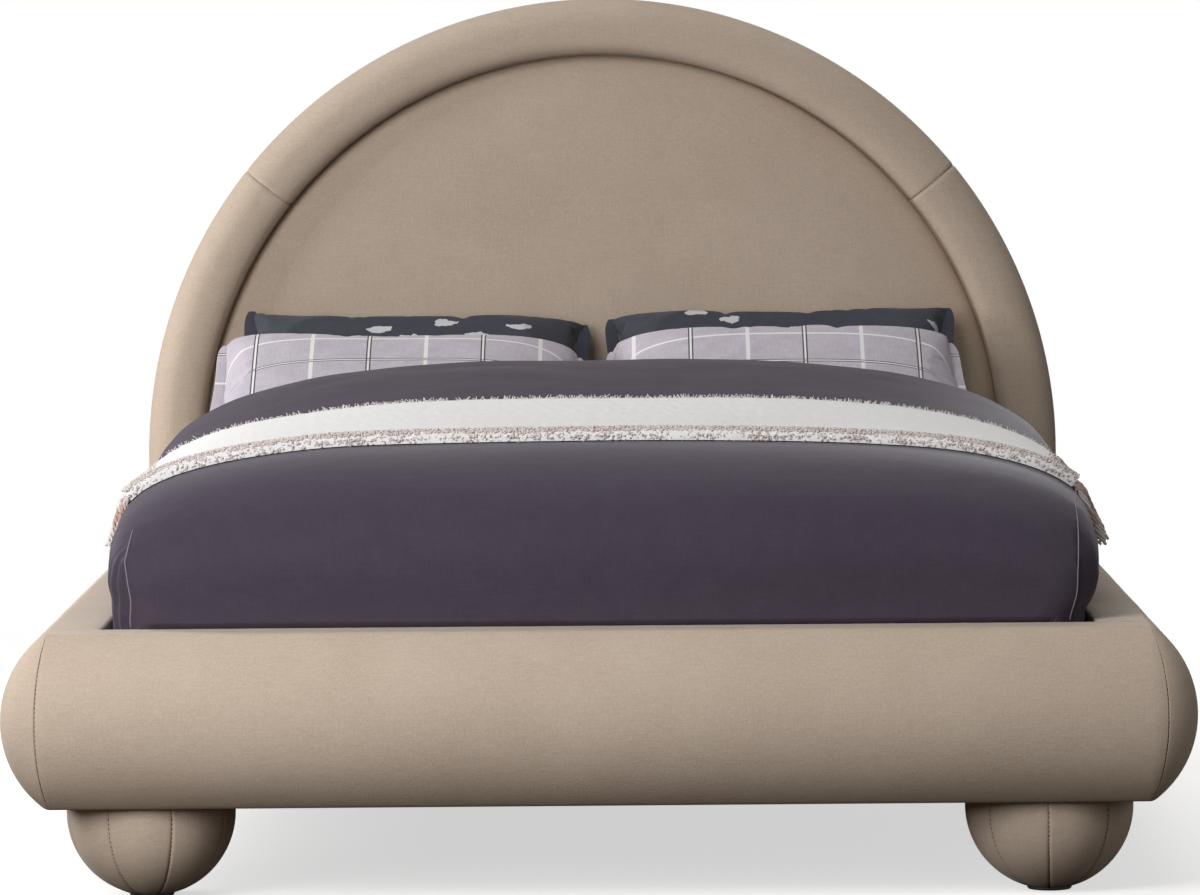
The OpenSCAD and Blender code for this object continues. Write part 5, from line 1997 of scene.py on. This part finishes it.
@dataclass
class Pillow:
    """A pillow in a cover with a flat flange at both ends."""

    name: str
    side: Side
    front: bool
    finish: Finish
    slot: str
    seed: float
    width: float = 0.672
    length: float = 0.430
    flange: float = 0.020
    draw: float = 0.05
    rim: float = 0.0015
    hem: float = 0.9 * MM
    lean_slope: float = 0.7
    lean_y: float = 0.592
    gap: float = 0.0005
    # How this one lies: its far seam's height, its fullness, and how its ends stand
    rise: float = 0.252
    rise_power: float = 1.35
    square: float = 2.6
    fullness: float = 0.55
    crest: float = 0.0
    droop: float = 0.0
    ear: float = 0.0
    ear_power: float = 14.0
    flare: float = 0.0
    tuck: float = 0.0
    spill: float = 0.0
    over: float = 1.12
    pattern: tuple[float, float] = (0.0, 0.0)
    # Pitch, length and radius of the stitches
    thread: tuple[float, float, float] = (4.4 * MM, 3.0 * MM, 0.5 * MM)

    @property
    def half(self) -> float:
        """Half of the filled width."""
        return self.width / 2 - self.flange

    @property
    def thickness(self) -> float:
        """The pillow's greatest thickness."""
        return 0.160 if self.front else 0.200

    @property
    def run(self) -> float:
        """The pillow's length in plan."""
        return math.sqrt(self.length**2 - self.rise**2)

    @property
    def start(self) -> float:
        """The near seam's place along the bed."""
        return 0.408 if self.front else 1.032 - self.run

    @property
    def middle(self) -> float:
        """The pillow's centre across the bed."""
        return self.side.value * (self.width + 0.026) / 2 - 0.010

    def lean(self, y: float) -> float:
        """Height of the plane on which the front pillows lie on the back ones."""
        return BED.mattress_top + 0.010 + self.lean_slope * (y - self.lean_y)

    def point(self, u: float, v: float, face: int) -> Vector:
        """Return a point of the filled cover.

        Args:
            u: -1 to 1 across.
            v: -1 to 1 from the near seam to the far one.
            face: 1 above and -1 below.

        Returns:
            The point.
        """
        s = max((1 + v * (1 - self.draw * (1 - u * u))) / 2, 0.001)
        outer, inner = max(u * self.side.value, 0.0), max(-u * self.side.value, 0.0)
        pull = outer**2 * (self.flare * (1 - s) - self.tuck * s) - inner**2 * self.spill * s
        x = self.middle + u * self.half * (1 - self.draw * (1 - v * v)) + self.side.value * pull
        y = self.start + self.run * s
        z = BED.mattress_top + self.gap + 2 * self.rim + self.rise * s**self.rise_power
        raised = self.crest * (1 - abs(u) ** 2.5) - self.droop * inner**5
        z += s**2 * (raised + self.ear * outer**self.ear_power)
        slope = self.rise * self.rise_power * s ** (self.rise_power - 1) / self.run
        n = math.sqrt(1 + slope * slope)
        swell = ((1 - abs(u) ** self.square) * (1 - abs(v) ** self.square)) ** self.fullness
        w = face * (self.rim + self.thickness / 2 * swell)
        floor = (BED.mattress_top + self.gap - z) * n
        gap = self.gap if self.front else -self.gap
        lean = (self.lean(y) + gap - z) / (1 / n + self.lean_slope * slope / n)
        if face < 0:
            w = max(w, max(floor, min(lean, -self.rim)) if self.front else floor)
        elif not self.front:
            w = min(w, max(lean, self.rim))
        return Vector((x, y - w * slope / n, z + w / n))

    def build(self) -> None:
        """Fill the cover, crease it, keep it in its space and add flanges and stitches."""
        bm = bmesh.new()
        two_faces(bm, (56, 40), self.point)
        piece = make_piece(f"{self.name}_cover", bm, [self.finish.material()], 80)
        plump(piece, 0.006, 3.0, 0.007, 0.03)
        self.settle(piece.data)
        for end in Side:
            self.add_flange(piece, end)
        self.lay_out(piece.data)
        piece.data.polygons.foreach_set("use_smooth", [True] * len(piece.data.polygons))
        round_off(piece)
        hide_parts(self.name)
        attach(piece, self.name)
        self.stitch()

    def settle(self, mesh: bpy.types.Mesh) -> None:
        """Keep the pillow's points off the mattress, the other pillow and the headboard.

        Args:
            mesh: the pillow's mesh.
        """
        for vert in mesh.vertices:
            co = vert.co
            co.z = max(co.z, BED.mattress_top + self.gap)
            over = co.z - self.lean(co.y)
            n2 = 1 + self.lean_slope**2
            lean = Vector((0, self.lean_slope, -1)) / n2
            if self.front and over < self.gap and co.y > self.lean_y - 0.02:
                vert.co = co + lean * (over - self.gap)
            if not self.front and over > -self.gap:
                vert.co = co + lean * (over + self.gap)
            vert.co.y = min(vert.co.y, 1.0325)
            vert.co.z = max(vert.co.z, BED.mattress_top + self.gap)

    def seam(self, end: Side, v: float, out: float) -> Vector:
        """Return a point of the seam at an end, or of the flange outside it.

        Args:
            end: the end.
            v: -1 to 1 from the near seam to the far one.
            out: the distance outside the seam.

        Returns:
            The point.
        """
        point = (self.point(end.value, v, 1) + self.point(end.value, v, -1)) / 2
        wave = 0.0022 * unevenness(Vector((v * 0.2, self.seed, end.value)), 0.05, self.seed)
        return point + Vector((end.value * out, 0, wave * (max(out, 0) / self.flange)))

    def add_flange(self, piece: Piece, end: Side) -> None:
        """Add the flat flange of one end to the pillow's mesh.

        Args:
            piece: the pillow.
            end: the flange's end.
        """
        bm = bmesh.new()
        bm.from_mesh(piece.data)
        # The flange ends just before the corners
        reach = 0.985

        def place(u: float, v: float, face: int) -> Vector:
            """Return a point of the flange's upper face, 1, or its lower one, -1."""
            out = -0.006 + (self.flange + 0.005) * (u + 1) / 2 * (1 - 0.6 * abs(reach * v) ** 14)
            return self.seam(end, reach * v, out) + Vector((0, 0, self.hem * face))

        two_faces(bm, (5, 60), place)
        bmesh.ops.recalc_face_normals(bm, faces=bm.faces[:])
        bm.to_mesh(piece.data)
        bm.free()

    def lay_out(self, mesh: bpy.types.Mesh) -> None:
        """Give the cover flat coordinates in metres for its pattern.

        Args:
            mesh: the pillow's mesh.
        """
        layer = mesh.uv_layers.new(name="cloth")
        points = mesh_points(mesh)
        ahead = points[:, 1] - self.start
        if self.front:
            s = np.clip(ahead / self.run, 0, 1.2)
        else:
            s = (ahead * self.run + (points[:, 2] - BED.mattress_top) * self.rise) / self.length**2
        across = points[:, 0] - self.middle + self.pattern[0]
        flat = np.column_stack([across, self.length * self.over * s + self.pattern[1]])
        index = np.empty(len(mesh.loops), np.int32)
        mesh.loops.foreach_get("vertex_index", index)
        layer.data.foreach_set("uv", flat[index].astype(np.float32).ravel())

    def stitch(self) -> None:
        """Sew along the root of both flanges."""
        places = []
        for end in Side:
            root = [self.seam(end, -0.97 + 1.94 * i / 60, 0.0015) for i in range(61)]
            for face in (1, -1):
                places += stitches([p + Vector((0, 0, face * 1.0 * MM)) for p in root], *self.thread)
        thread = LILAC_THREAD if self.front else SLATE_THREAD
        piece = make_piece(f"{self.name}_stitches", beads(places), [thread.material()])
        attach(piece, self.name)


# What carries the bed, under and behind the upholstery


@dataclass
class Carcass:
    """The timber, boards and fittings, which keep their own shapes and get their finishes."""

    nodes: dict

    def finish_of(self, node: str) -> Finish:
        """Return the finish of a node by what it is made of.

        Args:
            node: the node's name.

        Returns:
            The finish, which is velvet for a node that a padded piece replaces.
        """
        for words, finish in (
            (("headboard_face", "slats", "corner_block", "foot_core"), PLYWOOD),
            (("footboard_frame",), PINE_X),
            (("headboard_frame",), PINE_Z),
            (("frame", "ledger_left", "ledger_right", "center_beam"), PINE_Y),
            (("slat_straps",), WEBBING),
            (("headboard_back",), BACKING),
            (("center_leg",), BLACK_METAL),
            (("glide",), BLACK_PLASTIC),
            (("bracket", "screws", "bolts"), STEEL),
        ):
            if any(word in node for word in words):
                return finish
        return VELVET

    def dress(self) -> None:
        """Give every CAD node its finish."""
        for name, node in self.nodes.items():
            material = self.finish_of(name).material()
            node.data.materials.clear()
            node.data.materials.append(material)
            LOG.info("%s: %s", name, material.name)


# The room


@dataclass(frozen=True)
class Lamp:
    """One square soft lamp, turned to the middle of the bed."""

    name: str
    place: tuple[float, float, float]
    size: float
    power: float

    def build(self) -> None:
        """Hang the lamp."""
        data = bpy.data.lights.new(self.name, "AREA")
        data.energy, data.size, data.shape = self.power, self.size, "SQUARE"
        lamp = bpy.data.objects.new(self.name, data)
        bpy.context.scene.collection.objects.link(lamp)
        lamp.location = self.place
        aim = Vector((0, -0.2, 0.5)) - Vector(self.place)
        lamp.rotation_euler = aim.to_track_quat("-Z", "Y").to_euler()


@dataclass
class Studio:
    """A plain pale room: floor, soft light from the left, and the camera."""

    lens: float = 200.5
    place: tuple[float, float, float] = (0.052, -11.394, 1.313)
    pitch_deg: float = 3.364
    yaw_deg: float = 0.259
    roll_deg: float = -0.491
    lamps: tuple[Lamp, ...] = (
        Lamp("window_at_the_left", (-3.2, 0.6, 1.4), 1.2, 66.0),
        Lamp("soft_box_front_left", (-2.2, -3.6, 1.4), 1.5, 66.0),
        Lamp("soft_box_front_above", (-1.4, -4.0, 3.4), 1.8, 76.0),
        Lamp("soft_box_right", (3.2, -2.6, 1.3), 2.0, 11.0),
        Lamp("ceiling_light", (0.5, 1.5, 4.2), 2.2, 40.0),
        Lamp("soft_box_behind", (0.9, 4.8, 1.7), 2.0, 60.0),
    )
    fill_strength: float = 0.09
    fill_color: str = "#ffffff"
    floor_color: str = "#4a4036"

    def build(self) -> None:
        """Make the camera, the lamps, the world and the floor."""
        self.camera()
        for lamp in self.lamps:
            lamp.build()
        self.world()
        self.floor()

    def camera(self) -> None:
        """Stand the camera before the foot end."""
        data = bpy.data.cameras.new("camera")
        data.lens, data.sensor_width, data.clip_end = self.lens, 36.0, 100.0
        camera = bpy.data.objects.new("camera", data)
        bpy.context.scene.collection.objects.link(camera)
        camera.location = self.place
        tilt = Matrix.Rotation(math.radians(90 - self.pitch_deg), 4, "X")
        yaw = Matrix.Rotation(math.radians(self.yaw_deg), 4, "Z")
        roll = Matrix.Rotation(math.radians(self.roll_deg), 4, "Z")
        camera.rotation_euler = (yaw @ tilt @ roll).to_euler()
        bpy.context.scene.camera = camera

    def world(self) -> None:
        """Make the surroundings white to look at and dimmer as a light."""
        world = bpy.data.worlds.new("room")
        world.use_nodes = True
        bpy.context.scene.world = world
        tree = world.node_tree
        tree.nodes.clear()
        path = add_node(tree, "ShaderNodeLightPath").outputs
        seen = Finish.math(tree, "MAXIMUM", path["Is Camera Ray"], path["Is Glossy Ray"])
        seen = Finish.math(tree, "MAXIMUM", seen, path["Is Transmission Ray"])
        soft = {"Color": linear(self.fill_color), "Strength": self.fill_strength}
        dim = add_node(tree, "ShaderNodeBackground", soft)
        white = add_node(tree, "ShaderNodeBackground", {"Color": linear("#ffffff"), "Strength": 1.0})
        mixed = add_node(tree, "ShaderNodeMixShader", {0: seen, 1: dim.outputs[0], 2: white.outputs[0]})
        add_node(tree, "ShaderNodeOutputWorld", {0: mixed.outputs[0]})

    def floor(self) -> None:
        """Lay a wide pale floor that looks white where no shadow falls."""
        bm = bmesh.new()
        bmesh.ops.create_grid(bm, x_segments=1, y_segments=1, size=40)
        made = bpy.data.materials.new("studio_floor")
        made.use_nodes = True
        tree = made.node_tree
        tree.nodes.clear()
        path = add_node(tree, "ShaderNodeLightPath").outputs
        dull = add_node(tree, "ShaderNodeBsdfDiffuse", {"Color": linear(self.floor_color)})
        pale = add_node(tree, "ShaderNodeBsdfDiffuse", {"Color": linear("#d9d7d4")})
        glow = add_node(tree, "ShaderNodeEmission", {"Color": linear("#ffffff"), "Strength": 0.62})
        white = add_node(tree, "ShaderNodeEmission", {"Color": linear("#ffffff"), "Strength": 1.0})
        near = add_node(tree, "ShaderNodeAddShader", {0: pale.outputs[0], 1: glow.outputs[0]})
        place = add_node(tree, "ShaderNodeTexCoord").outputs["Object"]
        away = add_node(tree, "ShaderNodeVectorMath", {0: place}, operation="LENGTH").outputs["Value"]
        far = Finish.spread(tree, away, 1.8, 4.5)
        seen = add_node(tree, "ShaderNodeMixShader", {0: far, 1: near.outputs[0], 2: white.outputs[0]})
        inputs = {0: path["Is Camera Ray"], 1: dull.outputs[0], 2: seen.outputs[0]}
        both = add_node(tree, "ShaderNodeMixShader", inputs)
        add_node(tree, "ShaderNodeOutputMaterial", {0: both.outputs[0]})
        floor = make_piece("floor", bm, [made])


def main() -> None:
    """Build the bed's looks around the frame, sub-assembly by sub-assembly."""
    logging.basicConfig(level=logging.INFO, format="%(message)s")
    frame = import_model()
    bpy.context.scene.view_settings.view_transform = "Standard"
    Studio().build()
    Carcass(frame["nodes"]).dress()
    skin = RailSkin()
    for side in Side:
        SideRail(side, skin).build()
    Footboard(skin).build()
    Headboard().build()
    for side, end, seam in (
        (Side.LEFT, -1, -71.6), (Side.RIGHT, -1, -93.6), (Side.LEFT, 1, 80.0), (Side.RIGHT, 1, 95.0),
    ):
        BallFoot(side, end, seam).build()
    Mattress().build()
    duvet = Duvet()
    duvet.build()
    Throw(duvet).build()
    for pillow in (
        Pillow("pillow_back_left", Side.LEFT, False, SLATE, "pillow_slate", 0.031, rise=0.2475, square=2.42,
               crest=0.002, droop=0.007, ear=0.024, ear_power=5.0, flare=-0.015, tuck=0.026, spill=0.010,
               pattern=(0.0, 0.031)),
        Pillow("pillow_back_right", Side.RIGHT, False, SLATE, "pillow_slate", 0.117, rise=0.2549, square=2.5,
               crest=0.002, droop=0.004, ear=0.012, ear_power=8.0, flare=-0.017, tuck=0.012, spill=0.003,
               pattern=(0.0, 0.117)),
        Pillow("pillow_front_left", Side.LEFT, True, CHECK, "pillow_lilac", 0.031, rise=0.195,
               rise_power=1.0, square=3.6, fullness=0.42, droop=0.006, ear=0.022, ear_power=2.0,
               flare=0.045, tuck=-0.007, over=1.12, pattern=(-0.0446, 0.068)),
        Pillow("pillow_front_right", Side.RIGHT, True, CHECK, "pillow_lilac", 0.117, rise=0.203,
               rise_power=1.15, square=3.3, fullness=0.35, crest=0.013, droop=0.003, ear=0.008, ear_power=5.0,
               flare=0.045, tuck=0.022, over=1.09, pattern=(0.0735, 0.091)),
    ):
        pillow.build()


if __name__ == "__main__":
    main()
